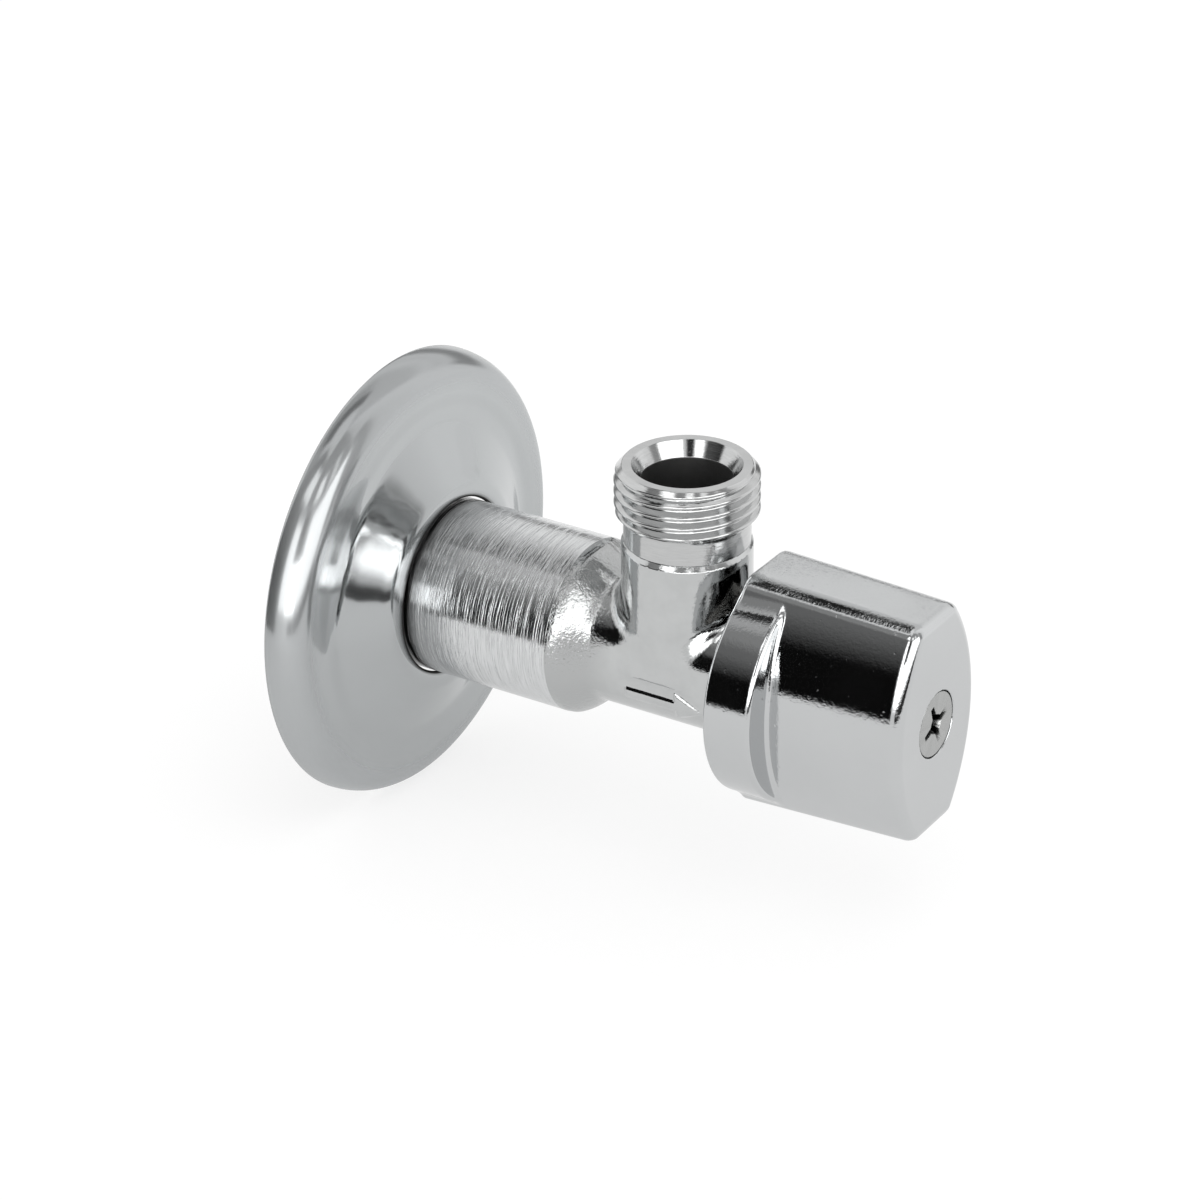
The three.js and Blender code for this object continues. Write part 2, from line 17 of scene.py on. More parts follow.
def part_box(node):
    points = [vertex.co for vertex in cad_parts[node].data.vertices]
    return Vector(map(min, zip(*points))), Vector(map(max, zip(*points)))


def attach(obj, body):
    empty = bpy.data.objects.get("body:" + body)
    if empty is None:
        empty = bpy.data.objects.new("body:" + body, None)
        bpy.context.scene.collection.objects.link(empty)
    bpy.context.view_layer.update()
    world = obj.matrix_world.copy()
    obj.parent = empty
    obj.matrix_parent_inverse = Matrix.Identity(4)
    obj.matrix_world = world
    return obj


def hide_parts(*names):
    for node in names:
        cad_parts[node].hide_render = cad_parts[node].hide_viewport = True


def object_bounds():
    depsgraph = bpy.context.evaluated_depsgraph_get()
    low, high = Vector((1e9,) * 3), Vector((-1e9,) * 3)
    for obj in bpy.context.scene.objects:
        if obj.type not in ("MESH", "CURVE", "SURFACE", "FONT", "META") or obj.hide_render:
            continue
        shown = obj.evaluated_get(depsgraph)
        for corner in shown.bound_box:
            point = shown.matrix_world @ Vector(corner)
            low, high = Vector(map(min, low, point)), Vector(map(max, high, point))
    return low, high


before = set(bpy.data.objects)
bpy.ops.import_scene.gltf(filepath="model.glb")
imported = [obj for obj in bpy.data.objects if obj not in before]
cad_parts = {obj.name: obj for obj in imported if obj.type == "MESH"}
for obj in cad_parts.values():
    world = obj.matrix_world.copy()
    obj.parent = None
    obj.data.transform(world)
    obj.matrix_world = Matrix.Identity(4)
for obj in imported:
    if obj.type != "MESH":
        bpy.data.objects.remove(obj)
cad_lo, cad_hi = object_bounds()

# ---- dimensions ----------------------------------------------------------------------------------
MM = 0.001
INLET_END = -11.3  # station
Y0 = round(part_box("body")[1][1] / MM + INLET_END, 3)

GRID_SCALE = 1.0  # coarsens the grids of the implicit shapes
N_BODY = 224  # points round the body's turned pieces
N_PLATE = 256
N_SMALL = 96
THREAD_ROWS = 14  # rows of points to one turn of a thread


def station(node):
    """(first, last) station of a CAD node."""
    lo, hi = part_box(node)
    return Y0 - hi[1] / MM, Y0 - lo[1] / MM


def radius(node):
    lo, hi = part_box(node)
    return (hi[0] - lo[0]) / 2 / MM


BODY_S0, BODY_S1 = station("body")
KNOB_S0, KNOB_S1 = station("knob")
BONNET_S0, BONNET_S1 = station("bonnet")
SPINDLE_S0, SPINDLE_S1 = station("spindle")
CLOSE_S0, CLOSE_S1 = station("closing_piece")
SCREW_S0, SCREW_S1 = station("knob_screw")
PLATE_R = radius("escutcheon")
PLATE_S1 = station("escutcheon")[1]
KNOB_RING_R = radius("knob")
KNOB_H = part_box("knob")[1][2] / MM  # half the grip's height

COLLAR_R = 10.45
COLLAR_S1 = 27.25
THROAT_R = 5.109  # bore where the collar meets the forging
NECK_R = 7.95
BOSS_R = 7.56
OUTLET_S = 40.16  # station of the outlet's axis
OUTLET_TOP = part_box("body")[1][2] / MM
OUTLET_SEAM_Z = 14.8  # the forging ends and the turned outlet begins
OUTLET_STEM_R = 7.3
OUTLET_BORE_R = 5.28
MIDDLE_Y = (Y0 - 35) * MM  # the valve's middle, in metres


# ---- mesh makers ---------------------------------------------------------------------------------


def add_object(name, data):
    o = bpy.data.objects.new(name, data)
    bpy.context.scene.collection.objects.link(o)
    return o


def mesh_piece(name, verts, faces, normals=None, weld=None):
    """A smooth shaded object from millimetre vertices, welded or with exact normals if given."""
    mesh = bpy.data.meshes.new(name)
    verts = (np.asarray(verts, dtype=np.float64) + (0.0, Y0, 0.0)) * MM
    mesh.from_pydata(verts.tolist(), [], np.asarray(faces).tolist())
    if weld:
        bm = bmesh.new()
        bm.from_mesh(mesh)
        bmesh.ops.remove_doubles(bm, verts=bm.verts, dist=weld * MM)
        bmesh.ops.dissolve_degenerate(bm, edges=bm.edges, dist=1e-7)
        bmesh.ops.recalc_face_normals(bm, faces=bm.faces)
        bm.to_mesh(mesh)
        bm.free()
    mesh.polygons.foreach_set("use_smooth", [True] * len(mesh.polygons))
    mesh.update()
    if normals is not None:
        mesh.normals_split_custom_set_from_vertices(normals.tolist())
    return add_object(name, mesh)


def rounded(outline, corner, closed=True, steps=4):
    """An outline of (radius, height[, corner radius]) with its corners rounded.

    Each round has a support point a little way along the line on either side of it.
    """
    points = [np.array(p[:2], dtype=float) for p in outline]
    corners = [p[2] if len(p) > 2 else corner for p in outline]
    n = len(points)
    out = []
    for i, p in enumerate(points):
        if not closed and i in (0, n - 1):
            out.append(p)
            continue
        a, b = points[i - 1] - p, points[(i + 1) % n] - p
        len_a, len_b = np.linalg.norm(a), np.linalg.norm(b)
        a, b = a / len_a, b / len_b
        half = math.acos(float(np.clip(np.dot(a, b), -1, 1))) / 2
        if half > math.radians(88) or corners[i] <= 0:
            out.append(p)
            continue
        cut = min(corners[i] / math.tan(half), 0.45 * len_a, 0.45 * len_b)
        bend = cut * math.tan(half)
        centre = p + (a + b) / np.linalg.norm(a + b) * (bend / math.sin(half))
        start, end = p + a * cut, p + b * cut
        v0, v1 = start - centre, end - centre
        a0, a1 = math.atan2(v0[1], v0[0]), math.atan2(v1[1], v1[0])
        while a1 - a0 > math.pi:
            a1 -= 2 * math.pi
        while a1 - a0 < -math.pi:
            a1 += 2 * math.pi
        out.append(start + a * min(0.04, 0.2 * (0.5 * len_a - cut) + 1e-4))
        for k in range(steps + 1):
            t = a0 + (a1 - a0) * k / steps
            out.append(centre + bend * np.array([math.cos(t), math.sin(t)]))
        out.append(end + b * min(0.04, 0.2 * (0.5 * len_b - cut) + 1e-4))
    return out


def along_axis(r, s, angle):
    return r * np.cos(angle), -s, r * np.sin(angle)


def up_outlet(r, z, angle):
    return r * np.cos(angle), -OUTLET_S + r * np.sin(angle), z


def lathe_grid(line, n, place=along_axis, closed=True):
    """Vertices and quads of a line of (radius, height) swept right round at n angles."""
    line = np.array(line)
    angles = np.arange(n) * 2 * math.pi / n
    r, angle = np.meshgrid(line[:, 0], angles, indexing="ij")
    h, _ = np.meshgrid(line[:, 1], angles, indexing="ij")
    verts = np.stack(place(r, h, angle), -1).reshape(-1, 3)
    m = len(line)
    i, j = np.meshgrid(np.arange(m if closed else m - 1), np.arange(n), indexing="ij")
    row, next_row, next_j = i * n, (i + 1) % m * n, (j + 1) % n
    quads = np.stack([row + j, row + next_j, next_row + next_j, next_row + j], -1)
    return verts, quads.reshape(-1, 4)


def lathe(name, outline, corner):
    return mesh_piece(name, *lathe_grid(rounded(outline, corner), N_SMALL), weld=1e-4)


def thread_depth(phase, depth):
    """Depth below the crest, at phase 0..1 of a pipe thread with rounded crest and root."""
    triangle = 1 - abs(2 * phase - 1)  # 0 at the crest, 1 at the root
    soft = np.clip((triangle - 0.165) / 0.67, 0, 1)
    return depth * (soft - 0.03 * np.sin(4 * math.pi * soft))


def thread_grid(major, minor, pitch, h0, h1, envelope, place):
    """Vertices and quads of a helical thread from h0 to h1, cut down to envelope(h)."""
    n, rows = N_BODY, THREAD_ROWS
    angles = np.arange(n + 1) * 2 * math.pi / n
    turns = int(math.ceil((h1 - h0) / pitch)) + 2
    steps = np.arange(-rows, turns * rows + 1)
    step, angle = np.meshgrid(steps, angles, indexing="ij")
    lead = angle / (2 * math.pi)
    h = np.clip(h0 + (step / rows + lead) * pitch, h0, h1)
    phase = np.mod((h - h0) / pitch - lead, 1.0)
    r = np.minimum(major - thread_depth(phase, major - minor), envelope(h))
    angle = np.where(angle > 2 * math.pi - 1e-9, 0.0, angle)
    verts = np.stack(place(r, h, angle), -1).reshape(-1, 3)
    w = n + 1
    i, j = np.meshgrid(np.arange(len(steps) - 1), np.arange(n), indexing="ij")
    quads = np.stack([i * w + j, i * w + j + 1, (i + 1) * w + j + 1, (i + 1) * w + j], -1)
    quads = quads.reshape(-1, 4)
    # leave out the quads that the ends of the thread squeeze flat
    quad_h = h.reshape(-1)[quads]
    flat = np.all(np.abs(quad_h - h0) < 1e-9, 1) | np.all(np.abs(quad_h - h1) < 1e-9, 1)
    return verts, quads[~flat]


def threaded_piece(name, outline, corner, place, major, minor, pitch, span, start, end):
    """A turned piece whose outline is left open over the thread's span and welded to the thread.

    start and end are the chamfers (depth below the minor radius, slope) at the thread's ends.
    """
    h0, h1 = span

    def envelope(h):
        return np.minimum(
            minor - start[0] + np.maximum(h - h0, 0) * start[1],
            minor - end[0] + np.maximum(h1 - h, 0) * end[1],
        )

    thread, thread_quads = thread_grid(major, minor, pitch, h0, h1, envelope, place)
    outline = [(minor - end[0], h1), *outline, (minor - start[0], h0)]
    line = rounded(outline, corner, closed=False)
    rest, rest_quads = lathe_grid(line, N_BODY, place, closed=False)
    verts = np.concatenate([thread, rest])
    quads = np.concatenate([thread_quads, rest_quads + len(thread)])
    return mesh_piece(name, verts, quads, weld=2e-3)


def implicit(name, shape, stations, x_reach, step, z_reach=None, refine=3):
    """A closed surface round the inside of a shape, its points moved onto the shape exactly.

    shape(x, s, z, rho) gives a signed distance, negative inside; rho is the distance from the axis.
    """
    step *= GRID_SCALE
    z_reach = z_reach or (-x_reach, x_reach)
    lo = np.array([-x_reach, -stations[1], z_reach[0]], float) - 1.7 * step
    hi = np.array([x_reach, -stations[0], z_reach[1]], float) + 1.7 * step
    size = np.ceil((hi - lo) / step).astype(int) + 1
    axes = [lo[d] + step * np.arange(size[d]) for d in range(3)]

    def distance(x, y, z):
        return shape(x, -y, z, np.sqrt(x * x + z * z))

    def gradient(p, e=0.015):
        out = np.empty_like(p)
        for m in range(3):
            q = p.copy()
            q[:, m] += e
            plus = distance(*q.T)
            q[:, m] -= 2 * e
            out[:, m] = (plus - distance(*q.T)) / (2 * e)
        return out

    grid = distance(axes[0][:, None, None], axes[1][None, :, None], axes[2][None, None, :])
    grid = np.broadcast_to(grid, size).astype(np.float32)
    inside = grid < 0
    cells = size - 1
    n_cells = int(np.prod(cells))
    total = np.zeros((*cells, 3), np.float32)
    count = np.zeros(cells, np.int16)
    quads = []
    # each grid edge that crosses the surface gives one quad between the four cells round it
    for d in range(3):
        e, u = (d + 1) % 3, (d + 2) % 3
        a = [slice(None)] * 3
        b = [slice(None)] * 3
        a[d], b[d] = slice(0, -1), slice(1, None)
        a, b = tuple(a), tuple(b)
        hit = inside[a] != inside[b]
        idx = np.argwhere(hit)
        value_a, value_b = grid[a][hit], grid[b][hit]
        cross = idx.astype(np.float32)
        cross[:, d] += value_a / (value_a - value_b)
        ok = (idx[:, e] > 0) & (idx[:, u] > 0) & (idx[:, e] < cells[e]) & (idx[:, u] < cells[u])
        idx, cross, rising = idx[ok], cross[ok], (value_a < 0)[ok]
        around = []
        for back_e, back_u in ((1, 1), (0, 1), (0, 0), (1, 0)):
            cell = idx.copy()
            cell[:, e] -= back_e
            cell[:, u] -= back_u
            flat = np.ravel_multi_index(cell.T, cells)
            around.append(flat)
            for m in range(3):
                total[..., m] += np.bincount(flat, cross[:, m], minlength=n_cells).reshape(cells)
            count += np.bincount(flat, minlength=n_cells).reshape(cells).astype(np.int16)
        around = np.stack(around, -1)
        around[~rising] = around[~rising][:, ::-1]
        quads.append(around)
    used = np.flatnonzero(count.reshape(-1))
    vertex_of = np.full(n_cells, -1, np.int64)
    vertex_of[used] = np.arange(len(used))
    verts = total.reshape(-1, 3)[used] / count.reshape(-1)[used][:, None]
    verts = verts.astype(np.float64) * step + lo

    for _ in range(refine):
        slope = gradient(verts)
        off = distance(*verts.T)
        move = slope * (off / np.maximum((slope**2).sum(1), 0.05))[:, None]
        length = np.linalg.norm(move, axis=1, keepdims=True)
        verts -= move * np.minimum(1, 0.6 * step / np.maximum(length, 1e-9))
    normals = gradient(verts)
    normals /= np.maximum(np.linalg.norm(normals, axis=1, keepdims=True), 1e-9)
    return mesh_piece(name, verts, vertex_of[np.concatenate(quads)], normals=normals)


# ---- signed distances: arrays in, negative inside ------------------------------------------------


def rmax(a, b, r):
    """Intersection with its edge rounded to r."""
    u, v = np.maximum(a + r, 0), np.maximum(b + r, 0)
    return np.minimum(-r, np.maximum(a, b)) + np.sqrt(u * u + v * v)


def rmin(a, b, r):
    """Union with a fillet of r."""
    return -rmax(-a, -b, r)


def polygon(points, x, y):
    """Signed distance to a closed polygon."""
    p = np.array(points, float)
    d = np.full(np.broadcast(x, y).shape, 1e9)
    sign = np.ones(d.shape)
    for i in range(len(p)):
        a, b = p[i], p[i - 1]
        ex, ey = b[0] - a[0], b[1] - a[1]
        wx, wy = x - a[0], y - a[1]
        t = np.clip((wx * ex + wy * ey) / (ex * ex + ey * ey), 0, 1)
        d = np.minimum(d, (wx - ex * t) ** 2 + (wy - ey * t) ** 2)
        c1, c2, c3 = y >= a[1], y < b[1], ex * wy > ey * wx
        flip = (c1 & c2 & c3) | (~c1 & ~c2 & ~c3)
        sign = np.where(flip, -sign, sign)
    return sign * np.sqrt(d)


def turned(rho, s, outline):
    """A solid of revolution from its outline of (radius, station), closed beyond the axis."""
    return polygon([(-1, outline[0][1]), *outline, (-1, outline[-1][1])], rho, s)


def double_d(r, flat, x, rho):
    """A round of radius r with two flats at x = +-flat."""
    return np.maximum(rho - r, np.abs(x) - flat)


def hexagon(half_flats, x, z):
    """Flats at half_flats from the axis, with two corners on the z axis."""
    c, k = math.cos(math.radians(30)), math.sin(math.radians(30))
    flats = np.maximum(np.maximum(np.abs(x), np.abs(x * k + z * c)), np.abs(x * k - z * c))
    return flats - half_flats


def spline(mean, depth, x, z):
    """Radius of sixteen flattened teeth round the axis."""
    return mean + depth * np.clip(2.2 * np.cos(16 * np.arctan2(z, x)), -1, 1)


# ---- node trees ----------------------------------------------------------------------------------


class NodeTree:
    """A short way to write a node tree. Values may be numbers, colours or sockets."""

    def __init__(self, tree):
        self.tree = tree

    def put(self, node, key, value):
        if isinstance(value, bpy.types.NodeSocket):
            self.tree.links.new(value, node.inputs[key])
        else:
            is_colour = isinstance(value, tuple)
            node.inputs[key].default_value = (*value, 1.0) if is_colour else value

    def node(self, kind, **inputs):
        made = self.tree.nodes.new(kind)
        for key, value in inputs.items():
            self.put(made, key.replace("_", " "), value)
        return made

    def math(self, operation, a, b=0.0, clamp=False):
        made = self.node("ShaderNodeMath")
        made.operation = operation
        made.use_clamp = clamp
        self.put(made, 0, a)
        self.put(made, 1, b)
        return made.outputs[0]

    def add(self, a, b, clamp=False):
        return self.math("ADD", a, b, clamp)

    def subtract(self, a, b):
        return self.math("SUBTRACT", a, b)

    def multiply(self, a, b):
        return self.math("MULTIPLY", a, b)

    def divide(self, a, b):
        return self.math("DIVIDE", a, b)

    def length(self, a, b):
        """Length of the flat vector (a, b)."""
        return self.math("SQRT", self.add(self.multiply(a, a), self.multiply(b, b)))

    def separate(self, vector):
        return self.node("ShaderNodeSeparateXYZ", Vector=vector).outputs

    def vector(self, x, y, z):
        return self.node("ShaderNodeCombineXYZ", X=x, Y=y, Z=z).outputs[0]

    def noise(self, vector, scale, detail, rough):
        made = self.node(
            "ShaderNodeTexNoise", Vector=vector, Scale=scale, Detail=detail, Roughness=rough
        )
        return made.outputs[0]

    def ramp(self, value, over, to=(0.0, 1.0)):
        """Maps the range over, which may fall, onto the range to, and clamps it."""
        made = self.node("ShaderNodeMapRange", Value=value, From_Min=over[0], From_Max=over[1])
        made.clamp = True
        self.put(made, "To Min", to[0])
        self.put(made, "To Max", to[1])
        return made.outputs[0]

    def bump(self, height, strength, distance, under=None):
        made = self.node("ShaderNodeBump", Height=height, Strength=strength, Distance=distance)
        if under is not None:
            self.put(made, "Normal", under)
        return made.outputs[0]

    def mix(self, factor, a, b):
        made = self.node("ShaderNodeMix")
        made.data_type = "RGBA"
        for key, value in ((0, factor), (6, a), (7, b)):
            self.put(made, key, value)
        return made.outputs[2]

    def mix_shader(self, factor, a, b):
        made = self.node("ShaderNodeMixShader")
        for key, value in ((0, factor), (1, a.outputs[0]), (2, b.outputs[0])):
            self.put(made, key, value)
        return made


class Material(NodeTree):
    def __init__(self, name):
        self.material = bpy.data.materials.new(name)
        self.material.use_nodes = True
        super().__init__(self.material.node_tree)
        self.principled = self.tree.nodes["Principled BSDF"]

    def place(self):
        """Object coordinates in metres."""
        return self.node("ShaderNodeTexCoord").outputs["Object"]

    def place_xyz(self, place):
        """x, y and z of the place, with y counted from the wall plate's back."""
        x, y, z = self.separate(place)
        return x, self.subtract(y, Y0 * MM), z

    def normal_xyz(self):
        return self.separate(self.node("ShaderNodeNewGeometry").outputs["Normal"])

    def station(self, y):
        return self.multiply(y, -1000.0)

    def surface(self, shader):
        self.put(self.tree.nodes["Material Output"], "Surface", shader.outputs[0])

    def widen(self, tint, rough, normal, share):
        """Throws a share of the light widely, as fine marks in the metal do."""
        wide = self.node(
            "ShaderNodeBsdfAnisotropic", Color=tint, Roughness=rough, Normal=normal
        )
        self.surface(self.mix_shader(share, self.principled, wide))

    def done(self, tint, rough, metal, normal):
        self.put(self.principled, "Base Color", tint)
        self.put(self.principled, "Roughness", rough)
        self.put(self.principled, "Metallic", metal)
        self.put(self.principled, "Normal", normal)
        return self.material


def shade(colour, factor):
    return tuple(c * factor for c in colour)


# ---- materials -----------------------------------------------------------------------------------


def polished_chrome(name, colour):
    """Polished and plated: a swell, an orange peel that frays reflections, a few tiny pits."""
    k = Material(name)
    place = k.place()
    _, normal_y, normal_z = k.normal_xyz()
    # the end face towards the user is smoother than the sides
    side = k.ramp(k.multiply(normal_y, -1.0), over=(0.9, 0.98), to=(1.0, 0.12))
    patches = k.ramp(k.noise(place, scale=95.0, detail=1.0, rough=0.5), over=(0.40, 0.62))
    top = k.multiply(k.ramp(normal_z, over=(0.82, 0.97)), patches)
    swell = k.noise(place, scale=170.0, detail=2.0, rough=0.5)
    peel = k.noise(place, scale=2300.0, detail=3.0, rough=0.65)
    pits = k.ramp(k.noise(place, scale=1500.0, detail=1.0, rough=0.4), over=(0.72, 0.82))
    haze = k.noise(place, scale=60.0, detail=4.0, rough=0.6)

    normal = k.bump(swell, strength=0.35, distance=0.00003)
    normal = k.bump(
        peel,
        strength=k.multiply(side, k.add(0.5, k.multiply(top, 0.35), clamp=True)),
        distance=k.add(0.000026, k.multiply(top, 0.00007)),
        under=normal,
    )
    normal = k.bump(
        k.subtract(1.0, pits), strength=k.multiply(side, 0.4), distance=0.00002, under=normal
    )
    rough = k.add(
        k.ramp(haze, over=(0.35, 0.75), to=(0.045, 0.095)),
        k.multiply(k.multiply(pits, side), 0.2),
    )
    tint = k.mix(k.ramp(haze, over=(0.3, 0.8)), colour, shade(colour, 0.95))
    return k.done(tint, rough, metal=1.0, normal=normal)


def sheet_chrome(name, colour):
    """Bright pressed sheet; its back and its hole's edge are matt, and painted dark as shade inside
    the plate.
    """
    k = Material(name)
    place = k.place()
    x, y, z = k.place_xyz(place)
    nx, ny, nz = k.normal_xyz()
    off_axis = k.length(x, z)
    outward = k.divide(k.add(k.multiply(nx, x), k.multiply(nz, z)), off_axis)
    facing = k.subtract(outward, ny)  # about 1 on the front, about -1 on the back
    lip = k.ramp(k.station(y), over=(7.2, 7.5))
    # the back and the hole's edge: matt, and painted dark as shade inside the plate
    dull_and_shaded = k.add(
        k.ramp(facing, over=(0.1, -0.3)),
        k.multiply(lip, k.ramp(facing, over=(0.95, 0.6))),
        clamp=True,
    )
    # the plate stands a few degrees off square, which its polish shows
    lean = 0.076
    tilted = k.vector(
        nx, k.add(ny, k.multiply(nz, lean)), k.subtract(nz, k.multiply(ny, lean))
    )
    swell = k.noise(place, scale=90.0, detail=2.0, rough=0.5)
    peel = k.noise(place, scale=700.0, detail=3.0, rough=0.6)
    haze = k.noise(place, scale=60.0, detail=4.0, rough=0.6)
    normal = k.bump(swell, strength=0.16, distance=0.00004, under=tilted)
    normal = k.bump(peel, strength=0.25, distance=0.000012, under=normal)
    tint = k.mix(k.ramp(haze, over=(0.3, 0.8)), colour, shade(colour, 0.95))
    # painted shade: the back and the hole's edge are darkened
    tint = k.mix(dull_and_shaded, tint, (0.10, 0.10, 0.098))
    rim = k.ramp(off_axis, over=((PLATE_R - 4.6) * MM, (PLATE_R - 2.9) * MM))
    rough = k.add(k.ramp(haze, over=(0.35, 0.75), to=(0.07, 0.11)), k.multiply(dull_and_shaded, 0.3))
    rough = k.add(rough, k.multiply(rim, 0.06))
    k.widen(tint, rough=0.5, normal=normal, share=k.add(0.06, k.multiply(rim, 0.32)))
    return k.done(tint, rough, metal=1.0, normal=normal)


def forged_chrome(name, colour):
    """Plating over a tumbled forging: shallow ripples everywhere and a fine grain on the cone."""
    k = Material(name)
    place = k.place()
    x, y, z = k.place_xyz(place)
    s = k.station(y)
    cone = k.multiply(k.ramp(s, over=(26.8, 27.3)), k.ramp(s, over=(34.5, 31.0)))
    ripple = k.noise(place, scale=420.0, detail=3.0, rough=0.55)
    grain = k.noise(place, scale=2400.0, detail=3.0, rough=0.6)
    swell = k.noise(place, scale=110.0, detail=1.0, rough=0.5)
    normal = k.bump(swell, strength=0.5, distance=0.00012)
    for height, everywhere, on_cone in ((ripple, 0.28, 0.5), (grain, 0.14, 0.76)):
        strength = k.add(everywhere, k.multiply(cone, on_cone))
        normal = k.bump(height, strength, distance=0.00010, under=normal)
    tint = k.mix(k.ramp(ripple, over=(0.3, 0.75)), colour, shade(colour, 0.93))
    tint = k.mix(cone, tint, shade(colour, 0.84))
    # inside the outlet the metal is bare, and its tint is darkened as painted shade in the bore
    off_outlet = k.length(x, k.add(y, OUTLET_S * MM))
    inside = k.multiply(
        k.ramp(off_outlet, over=(0.00545, 0.00532)), k.ramp(z, over=(0.0025, 0.0035))
    )
    tint = k.mix(inside, tint, (0.19, 0.19, 0.19))
    rough = k.ramp(grain, over=(0.3, 0.8), to=(0.05, 0.13))
    return k.done(tint, rough, metal=1.0, normal=normal)


def turned_metal(
    name, colour, lines, rough, upright=False, scratches=0.0, shaded_mouth=False, shaded_recess=False, broad=0.0
):
    """A lathe-cut surface: fine rings round the axis, broken into short streaks.

    lines and scratches are bump strengths and broad is the share of light thrown widely. upright
    turns about the outlet's axis and darkens and roughens its bore, as bare metal and as painted
    shade; the mouth option paints shade on the collar where it goes into the plate; the recess
    option paints shade into the bottom of the screw's cross.
    """
    k = Material(name)
    x, y, z = k.place_xyz(k.place())
    if upright:
        axial, a, b = z, x, k.add(y, OUTLET_S * MM)
    else:
        axial, a, b = y, x, z
    # direction round the axis, so that the streaks close on themselves
    off_axis = k.length(a, b)
    dir_a, dir_b = k.divide(a, off_axis), k.divide(b, off_axis)
    height = k.multiply(axial, 1000.0)

    def streak(along, around, detail=3.0, rough=0.65):
        """Noise with these frequencies along and round the axis."""
        at = k.vector(
            k.multiply(dir_a, around), k.multiply(height, along), k.multiply(dir_b, around)
        )
        return k.noise(at, 1.0, detail, rough)

    long_lines = streak(along=5.5, around=3.2)
    short_lines = streak(along=9.0, around=9.0)
    rings = streak(along=3.0, around=0.25)
    normal = k.bump(rings, strength=lines * 0.35, distance=0.00006)
    normal = k.bump(long_lines, strength=lines * 0.7, distance=0.00005, under=normal)
    normal = k.bump(short_lines, strength=lines * 0.5, distance=0.000035, under=normal)
    rough = k.ramp(short_lines, over=(0.3, 0.75), to=(rough, rough + 0.08))
    tint = k.mix(k.ramp(long_lines, over=(0.35, 0.7)), colour, shade(colour, 0.9))
    if scratches:  # a few deep ones between the finer lines
        scratch = streak(along=3.2, around=2.6, detail=2.0, rough=0.6)
        normal = k.bump(scratch, strength=scratches, distance=0.00008, under=normal)
        sparse = k.ramp(streak(along=7.5, around=1.3, detail=2.0, rough=0.6), over=(0.55, 0.68))
        normal = k.bump(sparse, strength=0.5, distance=0.00004, under=normal)
        tint = k.mix(k.ramp(scratch, over=(0.5, 0.66)), tint, shade(colour, 0.9))
    if upright:
        # inside the bore the metal is bare and rough, and its tint is darkened as painted shade
        bore = (0.00532, 0.00529)
        below_rim = k.ramp(z, over=(0.0226, 0.0221))
        tint = k.mix(k.multiply(k.ramp(off_axis, over=bore), below_rim), tint, (0.3, 0.3, 0.3))
        rough = k.add(rough, k.multiply(k.ramp(off_axis, over=bore), 0.3))
    # painted shade in the bottom of the screw's cross
    if shaded_recess:
        deep = k.ramp(k.station(y), over=(72.5, 72.1))
        near_axis = k.ramp(off_axis, over=(0.0030, 0.0027))
        tint = k.mix(k.multiply(deep, near_axis), tint, (0.05, 0.05, 0.05))
    # painted shade on the collar where it goes into the plate: a wide soft band and a darker narrow
    # one
    if shaded_mouth:
        s = k.station(y)
        wide = k.multiply(
            k.ramp(s, over=(6.6, 8.4)), k.ramp(s, over=(15.0, 8.5), to=(0.0, 0.42))
        )
        tint = k.mix(wide, tint, (0.10, 0.10, 0.10))
        narrow = k.multiply(k.ramp(s, over=(6.6, 7.4)), k.ramp(s, over=(9.7, 8.2)))
        tint = k.mix(narrow, tint, (0.07, 0.07, 0.07))
    if broad:
        k.widen(tint, rough=0.42, normal=normal, share=broad)
    return k.done(tint, rough, metal=1.0, normal=normal)


def rubber(name):
    k = Material(name)
    place = k.place()
    grain = k.noise(place, scale=1800.0, detail=3.0, rough=0.6)
    bloom = k.noise(place, scale=200.0, detail=3.0, rough=0.6)
    tint = k.mix(k.ramp(bloom, over=(0.35, 0.75)), (0.018, 0.018, 0.019), (0.045, 0.045, 0.046))
    rough = k.ramp(grain, over=(0.3, 0.7), to=(0.5, 0.72))
    return k.done(tint, rough, metal=0.0, normal=k.bump(grain, strength=0.35, distance=0.00003))


def plastic(name):
    k = Material(name)
    place = k.place()
    grain = k.noise(place, scale=1200.0, detail=2.0, rough=0.5)
    bloom = k.noise(place, scale=260.0, detail=3.0, rough=0.6)
    tint = k.mix(k.ramp(bloom, over=(0.3, 0.8)), (0.86, 0.86, 0.84), (0.78, 0.78, 0.75))
    rough = k.ramp(grain, over=(0.3, 0.7), to=(0.32, 0.45))
    return k.done(tint, rough, metal=0.0, normal=k.bump(grain, strength=0.2, distance=0.00002))


